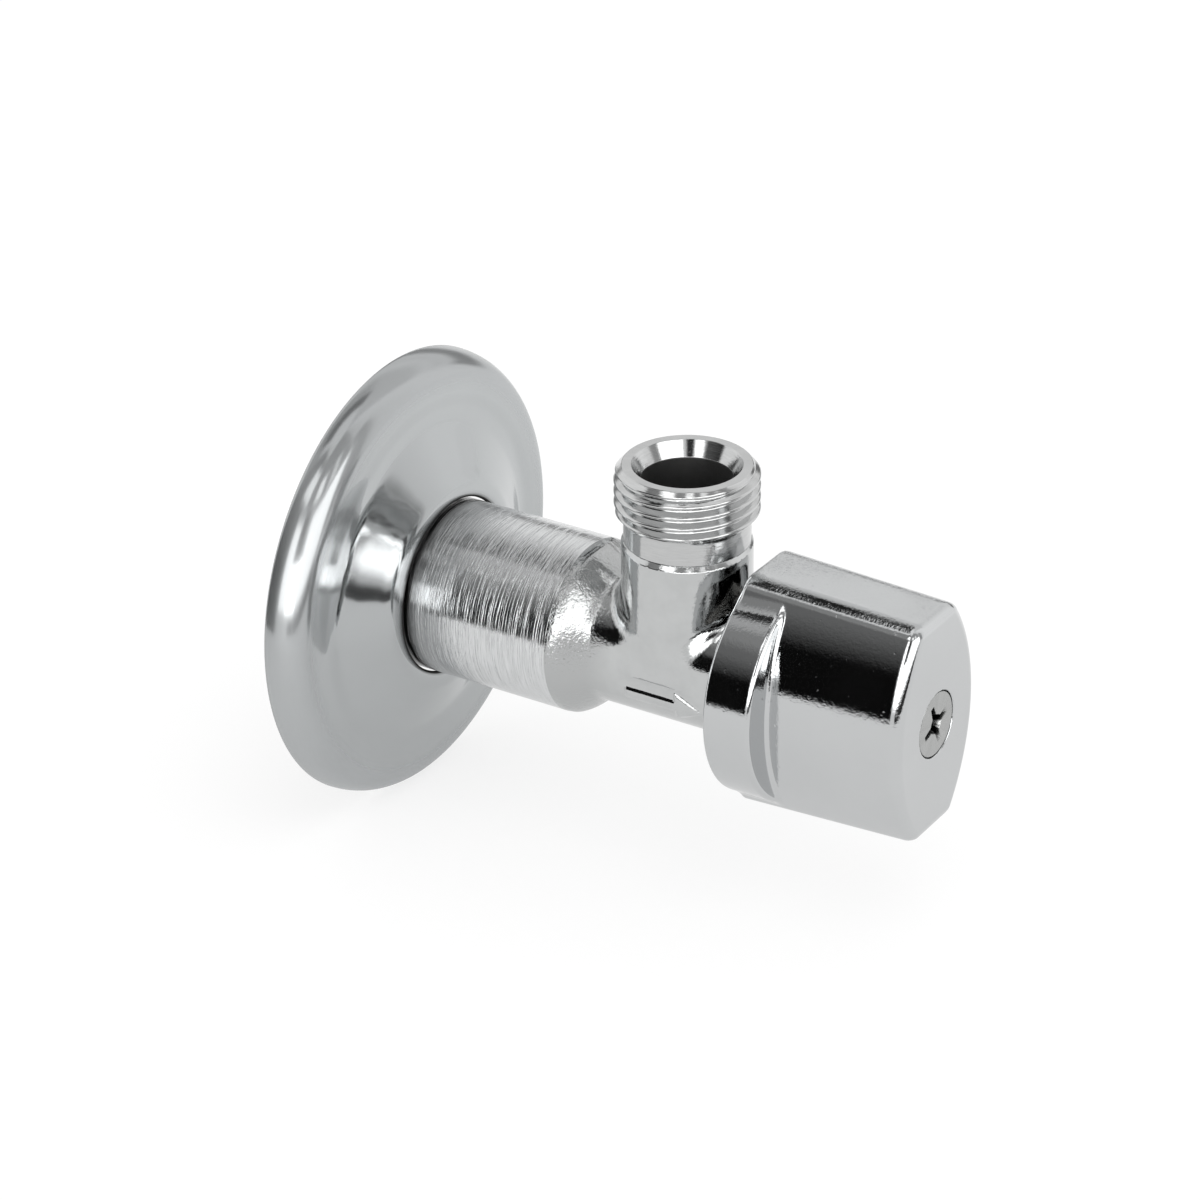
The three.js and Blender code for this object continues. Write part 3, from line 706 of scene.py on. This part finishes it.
collar_chrome = dict(lines=0.35, rough=0.035, scratches=0.42, shaded_mouth=True, broad=0.13)
FINISHES = {  # finish: (material, slot)
    "knob": (polished_chrome("knob_chrome", (0.615, 0.625, 0.63)), "chromed_knob"),
    "sheet": (sheet_chrome("sheet_chrome", (0.50, 0.515, 0.52)), "chromed_sheet"),
    "forged": (forged_chrome("forged_chrome", (0.605, 0.615, 0.615)), "chromed_body"),
    "collar": (
        turned_metal("turned_collar_chrome", (0.765, 0.775, 0.78), **collar_chrome),
        "chromed_body",
    ),
    "outlet": (
        turned_metal(
            "turned_outlet_chrome", (0.61, 0.615, 0.615), lines=0.35, rough=0.06, upright=True
        ),
        "chromed_body",
    ),
    "screw": (
        turned_metal("screw_steel", (0.47, 0.475, 0.47), lines=0.5, rough=0.22, shaded_recess=True),
        "screw_steel",
    ),
    "nickel": (
        turned_metal("nickelled_brass", (0.20, 0.195, 0.185), lines=0.6, rough=0.2),
        "nickelled_brass",
    ),
    "brass": (turned_metal("turned_brass", (0.74, 0.56, 0.29), lines=0.6, rough=0.22), "brass"),
    "spring": (
        turned_metal("spring_steel", (0.30, 0.30, 0.31), lines=0.6, rough=0.28),
        "spring_steel",
    ),
    "rubber": (rubber("nitrile_rubber"), "rubber"),
    "plastic": (plastic("white_plastic"), "plastic"),
}


def dress(piece, finish, body, node):
    """Gives a piece its finish and puts it on a moving body in place of a CAD node."""
    material, slot = FINISHES[finish]
    piece.data.materials.append(material)
    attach(piece, body)
    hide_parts(node)


# ---- body: inlet thread and turned collar --------------------------------------------------------
COLLAR_OUTLINE = [  # (radius, station[, corner radius]) from the thread's front end to its back
    (9.0, 2.3),
    (9.0, 3.2),
    (10.2, 4.0),
    (COLLAR_R, 4.25),
    (COLLAR_R, COLLAR_S1, 0.03),
    (THROAT_R, COLLAR_S1, 0.03),
    (7.0, 24.0),
    (7.0, BODY_S0 + 0.6),
    (7.6, BODY_S0),
]
collar = threaded_piece(
    "body_inlet_and_collar", COLLAR_OUTLINE, corner=0.12, place=along_axis,
    major=10.40, minor=9.24, pitch=1.814, span=(BODY_S0, 2.0), start=(0.02, 1.0), end=(0.25, 1.1),
)
dress(collar, "collar", "valve_body", "body")

# ---- body: the forged cone, neck and boss, with the bores ----------------------------------------
CONE = [  # (station, radius) of the cone running down to the neck
    (20, 10.44), (27.3, 10.44), (28.0, 10.36), (28.7, 9.98), (29.5, 9.35),
    (30.5, 8.49), (31.1, 8.12), (31.7, NECK_R), (60.0, NECK_R),
]
ARROW = [  # a plain raised flow arrow, (station, distance round the neck)
    (36.4, -0.62), (43.0, -0.62), (43.0, -1.75), (46.6, 0.0),
    (43.0, 1.75), (43.0, 0.62), (36.4, 0.62),
]
ARROW_AT = math.radians(180 + 21)  # round the axis from +X towards +Z
WATERWAY = [  # (radius, station)
    (9.608, 20), (THROAT_R, COLLAR_S1), (4.0, 28.6), (4.0, 35.6), (4.5, 35.6), (5.0, 34.4),
    (5.9, 34.4), (5.9, 45.1), (6.5, 45.2), (6.5, 49.5), (7.0, 49.5), (7.0, BODY_S1 - 0.2),
    (7.3, BODY_S1 + 0.1), (7.3, 60),
]
OUTLET_BORE = [  # (radius, z)
    (4.4, 0), (4.4, 10.1), (OUTLET_BORE_R, 11.0), (OUTLET_BORE_R, 20),
]

# the cone's profile in fine steps, smoothed
cone_s = np.arange(22, 56, 0.05)
kernel = np.exp(-np.linspace(-2.2, 2.2, 19) ** 2)
cone_r = np.interp(cone_s, *np.array(CONE).T)
cone_r = np.convolve(np.pad(cone_r, 9, mode="edge"), kernel / kernel.sum(), mode="valid")
cone_slope = np.gradient(cone_r, cone_s)


def forging(x, s, z, rho):
    r = np.interp(s, cone_s, cone_r)
    slope = np.interp(s, cone_s, cone_slope)
    neck = (rho - r) / np.sqrt(1 + slope**2)
    # the flanks of the neck are a little flattened, each facing slightly up
    pad = np.abs(x) * 0.9994 + z * 0.035 - 7.54
    neck = rmax(neck, np.where(s > 31.5, pad, pad - (31.5 - s) * 0.9), 0.9)
    # the arrow stands 0.4 proud, with soft edges
    around = np.mod(np.arctan2(z, x) - ARROW_AT + math.pi, 2 * math.pi) - math.pi
    mark = polygon(ARROW, s, around * NECK_R)
    neck = neck - 0.4 / (1 + np.exp(np.clip(mark / 0.12, -30, 30)))
    # the boss sits a little off the outlet's axis, towards -X and the user
    boss_x, boss_s = x + 0.24, s - OUTLET_S - 0.14
    boss = np.maximum(np.sqrt(boss_x * boss_x + boss_s * boss_s) - BOSS_R, -z)
    # a narrow web slopes down from the boss's side of the cone to the boss, on top
    web = rmax(np.abs(x) - 2.3, (z - 10.3) * 0.9 + (s - 27.4) * 0.42, 0.8)
    web = np.maximum(np.maximum(web, 27.0 - s), s - OUTLET_S)
    web = np.maximum(web, -z)
    f = rmin(rmin(neck, boss, 1.3), web, 0.8)
    f = np.maximum(f, COLLAR_S1 - 0.7 - s)  # its back end is inside the collar
    f = rmax(f, s - BODY_S1, 0.25)
    # the turning tool's conical shoulder under the outlet
    off_outlet = np.sqrt(x * x + (s - OUTLET_S) ** 2)
    shoulder = (off_outlet - OUTLET_STEM_R - (OUTLET_SEAM_Z - z)) * 0.7071
    f = np.maximum(f, np.where(z > 9.5, shoulder, -5.0))
    f = np.maximum(f, z - OUTLET_SEAM_Z)
    bores = np.minimum(turned(rho, s, WATERWAY), turned(off_outlet, z, OUTLET_BORE))
    return rmax(f, -bores, 0.12)


forged = implicit(
    "body_forging", forging, (COLLAR_S1 - 0.9, BODY_S1 + 0.2), x_reach=11, z_reach=(-11, 15), step=0.2
)
dress(forged, "forged", "valve_body", "body")

# ---- body: the turned outlet with its thread -----------------------------------------------------
OUTLET_MINOR = 7.48
OUTLET_END = (0.05, 0.95)  # chamfer at the thread's top
OUTLET_OUTLINE = [  # (radius, z[, corner radius]) from the thread's top, down the bore
    (OUTLET_MINOR - OUTLET_END[0] - 0.06, OUTLET_TOP),
    (6.33, OUTLET_TOP, 0.1),
    (OUTLET_BORE_R, OUTLET_TOP - 1.82, 0.1),
    (OUTLET_BORE_R, OUTLET_SEAM_Z),
    (OUTLET_STEM_R, OUTLET_SEAM_Z),
    (OUTLET_STEM_R, 17.3, 0.1),
]
outlet = threaded_piece(
    "body_outlet", OUTLET_OUTLINE, corner=0.05, place=up_outlet,
    major=8.33, minor=OUTLET_MINOR, pitch=1.337, span=(17.75, OUTLET_TOP - 0.02),
    start=(0.17, 1.3), end=OUTLET_END,
)
dress(outlet, "outlet", "valve_body", "body")

# ---- escutcheon ----------------------------------------------------------------------------------
PLATE_THICK = 0.65
PLATE_MIDDLE = [  # (radius, station) of the sheet's middle, from the rim to the hole
    (PLATE_R - 0.34, 0.05), (PLATE_R - 0.42, 1.0), (PLATE_R - 0.76, 2.15), (PLATE_R - 1.55, 3.26),
    (PLATE_R - 2.8, 3.84), (PLATE_R - 4.4, 3.98), (PLATE_R - 6.4, 3.92),
    (20.1, 3.98), (19.0, 4.22), (17.7, 4.78), (16.0, 5.62), (14.2, 6.54), (12.6, 7.38),
    (11.6, 7.66), (10.985, PLATE_S1 - 0.36),
]


def smooth_curve(points, step):
    """A Catmull-Rom curve through the points, as points about step apart."""
    p = [np.array(q, float) for q in points]
    p = [2 * p[0] - p[1]] + p + [2 * p[-1] - p[-2]]
    out = []
    for i in range(1, len(p) - 2):
        m = max(2, int(np.linalg.norm(p[i + 1] - p[i]) / step))
        for k in range(m):
            t = k / m
            a = 2 * p[i]
            b = p[i + 1] - p[i - 1]
            c = 2 * p[i - 1] - 5 * p[i] + 4 * p[i + 1] - p[i + 2]
            d = -p[i - 1] + 3 * p[i] - 3 * p[i + 1] + p[i + 2]
            out.append(0.5 * (a + b * t + c * t * t + d * t**3))
    out.append(p[-2])
    return out


def escutcheon_piece():
    half = PLATE_THICK / 2
    middle = np.array(smooth_curve(PLATE_MIDDLE, step=0.3))
    along = np.gradient(middle, axis=0)
    along /= np.linalg.norm(along, axis=1)[:, None]
    outward = np.stack([along[:, 1], -along[:, 0]], -1)  # away from the wall
    outer, inner = middle + outward * half, middle - outward * half

    def round_end(centre, end_dir, first_side):
        angles = np.linspace(0, math.pi, 7)[1:-1]
        return [centre + half * (math.cos(a) * first_side + math.sin(a) * end_dir) for a in angles]

    rim = round_end(middle[0], -along[0], -outward[0])
    hole = round_end(middle[-1], along[-1], outward[-1])
    # the rim's back edge is cut flat on the wall plane
    loop = [(r, min(max(s, 0.0), PLATE_S1)) for r, s in [*outer, *hole, *inner[::-1], *rim]]
    return mesh_piece("escutcheon_plate", *lathe_grid(loop, N_PLATE), weld=1e-4)


dress(escutcheon_piece(), "sheet", "wall_plate", "escutcheon")

# ---- knob ----------------------------------------------------------------------------------------
GRIP_SIDE_R = 21.5  # bend of the grip's two broad sides
GRIP_HALF_W = 9.72  # at station 56, narrowing towards the user
RING_S1 = 56.25  # the round ring at the knob's back ends here
SKIRT_R = 11.6  # round hollow in the ring
WALL = 1.8  # between the grip and its hollow
SCREW_SEAT = [  # (radius, station)
    (2.25, 69.0), (2.25, 70.45), (3.99, 72.25), (3.99, 80),
]


def grip(x, s, z, inset=0.0):
    """The grip's section at a station, all its sides moved in by inset."""
    half_h = KNOB_H - 0.85 * (s - 51) / 21.7 - inset
    half_w = GRIP_HALF_W - 0.62 * (s - 56) / 16.7 - inset
    bend = GRIP_SIDE_R - inset
    side = np.sqrt((np.abs(x) - (half_w - bend)) ** 2 + z * z) - bend
    return rmax(side, np.abs(z) - half_h, max(1.15 - inset * 0.4, 0.3))


def knob_shape(x, s, z, rho):
    outside = rmax(rmax(grip(x, s, z), s - KNOB_S1, 1.35), KNOB_S0 + 0.03 - s, 0.7)
    ring = rmax(rmax(rho - KNOB_RING_R, s - RING_S1, 0.6), KNOB_S0 - s, 0.4)
    f = rmin(outside, ring, 0.55)
    skirt = rmax(rho - SKIRT_R, s - 55.0, 0.5)
    hollow = rmax(grip(x, s, z, WALL), s - 70.1, 0.6)
    hollow = rmax(hollow, np.maximum(rho - 11.4, 54 - s), 0.3)
    hollow = rmin(skirt, hollow, 0.2)
    # a hub round the spindle and a rib across the hollow
    hub = np.maximum(rho - 5.6, 65.4 - s)
    rib = np.maximum(np.abs(x) - 0.8, 66.2 - s)
    hollow = rmax(hollow, -rmin(hub, rib, 0.3), 0.15)
    socket = np.maximum(rho - spline(3.1, 0.19, x, z), s - 70.12)
    cuts = np.minimum(np.minimum(hollow, socket), turned(rho, s, SCREW_SEAT))
    return rmax(f, -cuts, 0.1)


knob = implicit(
    "knob_casting", knob_shape, (KNOB_S0, KNOB_S1), x_reach=13.8, z_reach=(-14.8, 14.8), step=0.25
)
dress(knob, "knob", "knob_and_spindle", "knob")

# ---- knob screw ----------------------------------------------------------------------------------
CROSS_TURN = 0.35  # radians, from +X towards +Z
SCREW_OUTLINE = [  # (radius, station), closed beyond the axis
    (-1, SCREW_S0), (1.5, SCREW_S0), (1.92, SCREW_S0 + 0.4), (1.92, 70.42), (3.86, 72.3),
    (3.86, 72.5), (3.8, 72.6), (-1, 72.62),
]


def screw_shape(x, s, z, rho):
    f = polygon(SCREW_OUTLINE, rho, s)
    c, k = math.cos(CROSS_TURN), math.sin(CROSS_TURN)
    u, v = x * c + z * k, -x * k + z * c
    deep = np.clip(72.65 - s, 0, 2.2)

    def wing(p, q):
        half_width = 0.56 - 0.08 * np.abs(p) - deep * 0.13
        return np.maximum(np.abs(q) - half_width, np.abs(p) - (2.6 - deep * 0.8))

    core = rho - (1.2 - deep * 0.34)
    cross = rmin(rmin(wing(u, v), wing(v, u), 0.25), core, 0.15)
    cross = np.maximum(cross, 70.6 + 0.3 * rho - s)
    return rmax(f, -cross, 0.06)


screw = implicit(
    "knob_screw_head", screw_shape, (SCREW_S0, SCREW_S1 + 0.1), x_reach=4, step=0.085
)
dress(screw, "screw", "knob_and_spindle", "knob_screw")

# ---- bonnet --------------------------------------------------------------------------------------
HEX_HALF = 8.5  # from the axis to a flat
BONNET_TUBE = [  # (radius, station)
    (6.1, BONNET_S0), (6.44, BONNET_S0 + 0.4), (6.44, 49.4), (5.64, 49.45), (5.64, 51.15),
    (6.0, 51.15), (6.0, BONNET_S1 - 0.4), (5.6, BONNET_S1),
]
BONNET_INNER = [(5.0, 40), (5.0, 51.6)]
BONNET_FRONT = [(4.3, 56.4), (4.3, 58.14), (3.28, 58.14), (3.28, 80)]


def bonnet_shape(x, s, z, rho):
    # the hexagon's corners are bevelled at both ends
    bevel = rho - (HEX_HALF + 1.9 * np.minimum(s - 51.0, 54.85 - s) + 0.1)
    ends = np.maximum(51.05 - s, s - 54.8)
    nut = np.maximum(np.maximum(hexagon(HEX_HALF, x, z), bevel * 0.5), ends)
    f = rmin(turned(rho, s, BONNET_TUBE), nut, 0.2)
    guide = np.maximum(double_d(5.0, 4.3, x, rho), s - 56.5)
    cuts = np.minimum(turned(rho, s, BONNET_INNER), guide)
    return rmax(f, -np.minimum(cuts, turned(rho, s, BONNET_FRONT)), 0.08)


bonnet = implicit(
    "bonnet_headwork", bonnet_shape, (BONNET_S0, BONNET_S1), x_reach=10, step=0.22
)
dress(bonnet, "nickel", "valve_body", "bonnet")

# ---- spindle and closing piece -------------------------------------------------------------------
SPINDLE_R = 3.22
RING_GROOVE_R = 2.24
SPINDLE_OUTLINE = [  # (radius, station)
    (2.45, SPINDLE_S0), (2.95, SPINDLE_S0 + 0.5), (2.95, 55.9), (2.3, 56.0), (2.3, 56.6),
    (4.14, 56.6), (4.14, 57.58), (SPINDLE_R, 57.58),
    (SPINDLE_R, 59.2), (RING_GROOVE_R, 59.2), (RING_GROOVE_R, 60.5), (SPINDLE_R, 60.5),
    (SPINDLE_R, 61.4), (RING_GROOVE_R, 61.4), (RING_GROOVE_R, 62.7), (SPINDLE_R, 62.7),
    (SPINDLE_R, 63.98), (2.65, 63.98), (2.65, 64.72), (SPINDLE_R, 64.72), (SPINDLE_R, SPINDLE_S1),
]
SPINDLE_HOLE = [(0.05, 61.6), (2.05, 62.3), (2.05, 69.7), (2.35, 70.0), (2.35, 80)]


def spindle_shape(x, s, z, rho):
    f = turned(rho, s, SPINDLE_OUTLINE)
    f = np.where(s > 65.2, np.maximum(f, rho - spline(3.02, 0.18, x, z)), f)
    return rmax(f, -turned(rho, s, SPINDLE_HOLE), 0.06)


spindle = implicit(
    "spindle_stem", spindle_shape, (SPINDLE_S0, SPINDLE_S1), x_reach=4.3, step=0.14
)
dress(spindle, "brass", "knob_and_spindle", "spindle")

CLOSING_OUTLINE = [  # (radius, station)
    (4.45, 38.05), (4.45, 36.7), (5.1, 36.7), (5.1, 39.0), (4.7, 39.5), (3.9, 39.9), (3.9, 45.4),
    (4.6, 45.7), (4.9, 46.0), (4.9, 46.55), (3.96, 46.55), (3.96, 47.85), (4.9, 47.85), (4.9, 48.4),
]
CLOSING_HOLE = [(3.03, 41.6), (3.03, 52.8), (3.33, 53.2), (3.33, 60)]
CLOSING_TAP = [(1.5, 30), (1.5, 40.7)]


def closing_shape(x, s, z, rho):
    f = turned(rho, s, CLOSING_OUTLINE)
    guide = np.maximum(double_d(4.88, 4.18, x, rho), np.maximum(48.3 - s, s - CLOSE_S1))
    holes = np.minimum(turned(rho, s, CLOSING_HOLE), turned(rho, s, CLOSING_TAP))
    return rmax(np.minimum(f, guide), -holes, 0.08)


closing = implicit(
    "closing_piece_piston", closing_shape, (CLOSE_S0, CLOSE_S1), x_reach=5.2, step=0.16
)
dress(closing, "brass", "closing_group", "closing_piece")


# ---- rings, washers and small fixings ------------------------------------------------------------
SEAL_RINGS = [  # (name, CAD node, ring radius, section radius, body it rides)
    ("bonnet_seal_ring", "bonnet_o_ring", 6.32, 0.6, "valve_body"),
    ("spindle_seal_ring_inner", "spindle_o_ring_inner", 2.76, 0.47, "knob_and_spindle"),
    ("spindle_seal_ring_outer", "spindle_o_ring_outer", 2.76, 0.47, "knob_and_spindle"),
    ("closing_piece_seal_ring", "closing_piece_o_ring", 4.48, 0.47, "closing_group"),
]
for name, node, ring_r, section_r, body in SEAL_RINGS:
    middle = sum(station(node)) / 2
    loop = [
        (ring_r + section_r * math.cos(a), middle + section_r * math.sin(a))
        for a in np.linspace(0, 2 * math.pi, 21)[:-1]
    ]
    ring = mesh_piece(name, *lathe_grid(loop, N_SMALL), weld=1e-4)
    dress(ring, "rubber", body, node)

# outlines of (radius, station[, corner radius])
SEAT_WASHER = [(1.55, 35.66), (4.4, 35.66, 0.2), (4.4, 38.0, 0.2), (1.55, 38.0)]
THRUST_WASHER = [(3.3, 57.63), (4.2, 57.63), (4.2, 58.1), (3.3, 58.1)]
washer = lathe("seat_washer_rubber", SEAT_WASHER, corner=0.08)
dress(washer, "rubber", "closing_group", "seat_washer")
thrust = lathe("thrust_washer_ring", THRUST_WASHER, corner=0.06)
dress(thrust, "plastic", "knob_and_spindle", "thrust_washer")

SEAT_SCREW = [  # (radius, station)
    (1.9, 34.5), (2.5, 34.9), (2.5, 35.62), (1.42, 35.62), (1.42, 40.3), (1.1, 40.6),
]


def seat_screw_shape(x, s, z, rho):
    slot = np.maximum(np.abs(z) - 0.3, s - 35.0)
    return rmax(turned(rho, s, SEAT_SCREW), -slot, 0.05)


seat_screw = implicit(
    "seat_washer_fixing", seat_screw_shape, (34.4, 40.7), x_reach=2.6, step=0.1
)
dress(seat_screw, "brass", "closing_group", "seat_washer_screw")


def clip_shape(x, s, z, rho):
    """A flat ring with a gap that widens towards +X."""
    faces = np.maximum(64.03 - s, s - 64.67)
    band = np.maximum(rho - 4.7, 2.75 - rho)
    gap = np.where(x > 0, np.abs(z) - (np.maximum(x, 0) * 0.42 + 0.05), 9.0)
    return rmax(rmax(band, -gap, 0.2), faces, 0.08)


clip = implicit("spindle_retaining_ring", clip_shape, (64.0, 64.7), x_reach=4.8, step=0.1)
dress(clip, "spring", "knob_and_spindle", "spindle_circlip")

# ---- floor ---------------------------------------------------------------------------------------
# The board ends near the part on the -X and -Y sides, and runs on far towards +Y and +X.
# (azimuth in degrees, distance in metres); azimuth 0 is towards -Y and -90 towards -X
FLOOR_EDGE = [
    (25, 0.2), (0, 0.185), (-30, 0.185), (-60, 0.2), (-90, 0.2), (-120, 0.185), (-145, 0.185),
    (-165, 0.2), (-166, 6), (-190, 6), (-215, 6), (-240, 6), (-270, 6), (-300, 6), (-330, 6),
    (-334, 6),
]
FLOOR_GAP = 0.0002  # metres below the valve


def board_material():
    """White board with a painted glow, which looks whiter to the camera than it lights and reflects;
    in what it lights and reflects the glow rises towards +X.
    """
    k = Material("glowing_white_board")
    k.tree.nodes.remove(k.principled)
    place = k.place()
    tone = k.ramp(k.noise(place, scale=6.0, detail=2.0, rough=0.5), over=(0.3, 0.7))
    board_tint = k.mix(tone, (0.785, 0.785, 0.785), (0.80, 0.80, 0.80))
    board = k.node("ShaderNodeBsdfDiffuse", Color=board_tint)
    # painted glow in what the board reflects and lights: emission that rises towards +X
    across_x = k.separate(place)[0]
    board_glow = k.ramp(across_x, over=(0.05, 0.11), to=(0.87, 1.12))
    glowing_board = k.mix_shader(0.6, board, k.node("ShaderNodeEmission", Strength=board_glow))
    # to the camera the board is mostly painted glow, so its shadows are faint
    lit = k.node("ShaderNodeBsdfDiffuse", Color=(0.93, 0.93, 0.93))
    white = k.mix_shader(0.72, lit, k.node("ShaderNodeEmission", Strength=1.03))
    camera_ray = k.node("ShaderNodeLightPath").outputs["Is Camera Ray"]
    k.surface(k.mix_shader(camera_ray, glowing_board, white))
    return k.material


def make_floor():
    z = cad_lo.z - FLOOR_GAP
    points = [(0, MIDDLE_Y, z)]
    for azimuth, q in FLOOR_EDGE:
        a = math.radians(azimuth)
        points.append((q * math.sin(a), MIDDLE_Y - q * math.cos(a), z))
    n = len(FLOOR_EDGE)
    mesh = bpy.data.meshes.new("floor")
    mesh.from_pydata(points, [], [(0, (i + 1) % n + 1, i + 1) for i in range(n)])
    mesh.update()
    floor = add_object("floor", mesh)
    mesh.materials.append(board_material())


make_floor()


# ---- world ---------------------------------------------------------------------------------------


def make_world():
    """A plain white world, in which glossy surfaces see a painted studio."""
    world = bpy.data.worlds.new("studio")
    bpy.context.scene.world = world
    world.use_nodes = True
    world.node_tree.nodes.clear()
    w = NodeTree(world.node_tree)
    x, y, z = w.separate(w.node("ShaderNodeTexCoord").outputs["Generated"])
    # degrees, from -298 to 62: 0 is towards the user, -90 towards -X, -180 +Y, -270 +X
    azimuth = w.multiply(w.math("ARCTAN2", x, w.multiply(y, -1.0)), 180 / math.pi)
    azimuth = w.subtract(azimuth, w.multiply(w.math("GREATER_THAN", azimuth, 62.0), 360.0))
    elevation = w.multiply(w.math("ARCSINE", z), 180 / math.pi)

    def window(value, first, last, soft):
        """1 between first and last, with soft edges."""
        return w.multiply(
            w.ramp(value, over=(first - soft, first + soft)),
            w.ramp(value, over=(last + soft, last - soft)),
        )

    pale_fade = w.ramp(azimuth, over=(22.0, 50.0), to=(0.84, 1.04))
    dark_fade = w.ramp(elevation, over=(18.0, 36.0), to=(0.004, 0.17))
    # each row is painted over the rows before it:
    # (azimuth from, to, elevation from, to, softness in azimuth, in elevation, level)
    windows = [
        (-300, -220, 38, 100, 5.0, 5.0, 0.74),  # pale sweep on the +X side
        (-290, -190, 22, 31, 8.0, 4.0, 0.84),
        (-286, -200, 3, 17, 4.0, 3.0, 0.22),  # dark low furniture towards +X and +Y
        (5, 70, -30, 100, 7.0, 7.0, pale_fade),  # on the +X side of the boxes
        (8, 27, 4, 60, 3.0, 3.0, 0.38),
        (-230, -136, 47, 64, 6.0, 3.0, 0.5),
        (-138, 5, 44, 100, 5.0, 5.0, 0.36),  # grey ceiling
        (-104, 5, -12, 46, 4.0, 4.0, 0.80),  # behind the boxes
        (-142, -101, -30, 100, 3.0, 3.0, dark_fade),  # dark room, fading to grey overhead
        (-142, -101, 45, 64, 3.0, 4.0, 0.30),
        (-236, -160, 59.0, 70.0, 4.0, 1.2, 0.02),
        (-236, -96, 73, 100, 6.0, 2.0, 1.0),
        (-97, -77, 0, 41, 1.6, 1.6, 2.3),  # white box on the -X side
        (-78, -48, 0, 22, 1.6, 1.6, 4.6),  # low white card between the boxes
        (-74, -57, 24, 46, 2.0, 2.0, 0.03),  # the camera
        (-49, 7, 1, 42, 1.8, 1.8, 2.3),  # white box on the user's side
        (-62, -44, 50, 62, 2.0, 2.0, 2.0),  # three strips above
        (-28, -14, 47, 66, 2.0, 2.0, 1.2),
        (-118, -88, 50, 66, 2.0, 2.0, 1.9),
        (-66, 13, -30, -3.0, 3.0, 1.3, 0.03),  # dark line where the near board ends
    ]
    painted = 1.0
    for az0, az1, el0, el1, soft_az, soft_el, level in windows:
        mask = w.multiply(
            window(azimuth, az0, az1, soft_az), window(elevation, el0, el1, soft_el)
        )
        painted = w.add(painted, w.multiply(mask, w.subtract(level, painted)))

    studio = w.node("ShaderNodeBackground", Color=(1, 1, 1), Strength=painted)
    plain = w.node("ShaderNodeBackground", Color=(1, 1, 1), Strength=1.04)
    glossy_ray = w.node("ShaderNodeLightPath").outputs["Is Glossy Ray"]
    shader = w.mix_shader(glossy_ray, plain, studio)
    w.node("ShaderNodeOutputWorld", Surface=shader.outputs[0])


make_world()


# ---- light and camera ----------------------------------------------------------------------------


def make_key_light():
    key = bpy.data.lights.new("soft_key", "AREA")
    key.shape = "DISK"
    key.size = 0.5
    key.energy = 0.9
    key_object = add_object("soft_key", key)
    key_object.location = (-0.25, Y0 * MM - 0.35, 0.7)
    key_object.rotation_mode = "QUATERNION"
    aim = Vector((0, (Y0 - 30) * MM, 0)) - key_object.location
    key_object.rotation_quaternion = aim.to_track_quat("-Z", "Y")
    key_object.visible_glossy = False


CAMERA_LENS = 129.06
CAMERA_AZIMUTH = math.radians(-58.11)  # from -Y, negative towards -X
CAMERA_ELEVATION = math.radians(28.41)
CAMERA_ROLL = math.radians(-0.258)
CAMERA_DISTANCE = 0.4973  # metres, from the valve's middle
MIDDLE_ON_SENSOR = (1.473, -1.224)  # the valve's middle right of and above the sensor's centre


def make_camera():
    camera = bpy.data.cameras.new("camera")
    camera.lens = CAMERA_LENS
    camera.sensor_width = 36.0
    camera.clip_start = 0.02
    camera.clip_end = 20.0
    camera_object = add_object("camera", camera)
    a, e, roll = CAMERA_AZIMUTH, CAMERA_ELEVATION, CAMERA_ROLL
    right = Vector((math.cos(a), math.sin(a), 0))
    back = Vector((math.sin(a) * math.cos(e), -math.cos(a) * math.cos(e), math.sin(e)))
    up = back.cross(right)
    rolled_right = math.cos(roll) * right + math.sin(roll) * up
    rolled_up = -math.sin(roll) * right + math.cos(roll) * up
    facing = Matrix((rolled_right, rolled_up, back)).transposed()
    # turned so that the middle falls on its place on the sensor
    seen = Vector((*MIDDLE_ON_SENSOR, -CAMERA_LENS)).normalized()
    turn = seen.rotation_difference(Vector((0, 0, -1))).to_matrix()
    matrix = (facing @ turn).to_4x4()
    matrix.translation = Vector((0, MIDDLE_Y, 0)) + back * CAMERA_DISTANCE
    camera_object.matrix_world = matrix
    bpy.context.scene.camera = camera_object


make_key_light()
make_camera()
view = bpy.context.scene.view_settings
view.view_transform = "Standard"
view.look = "None"
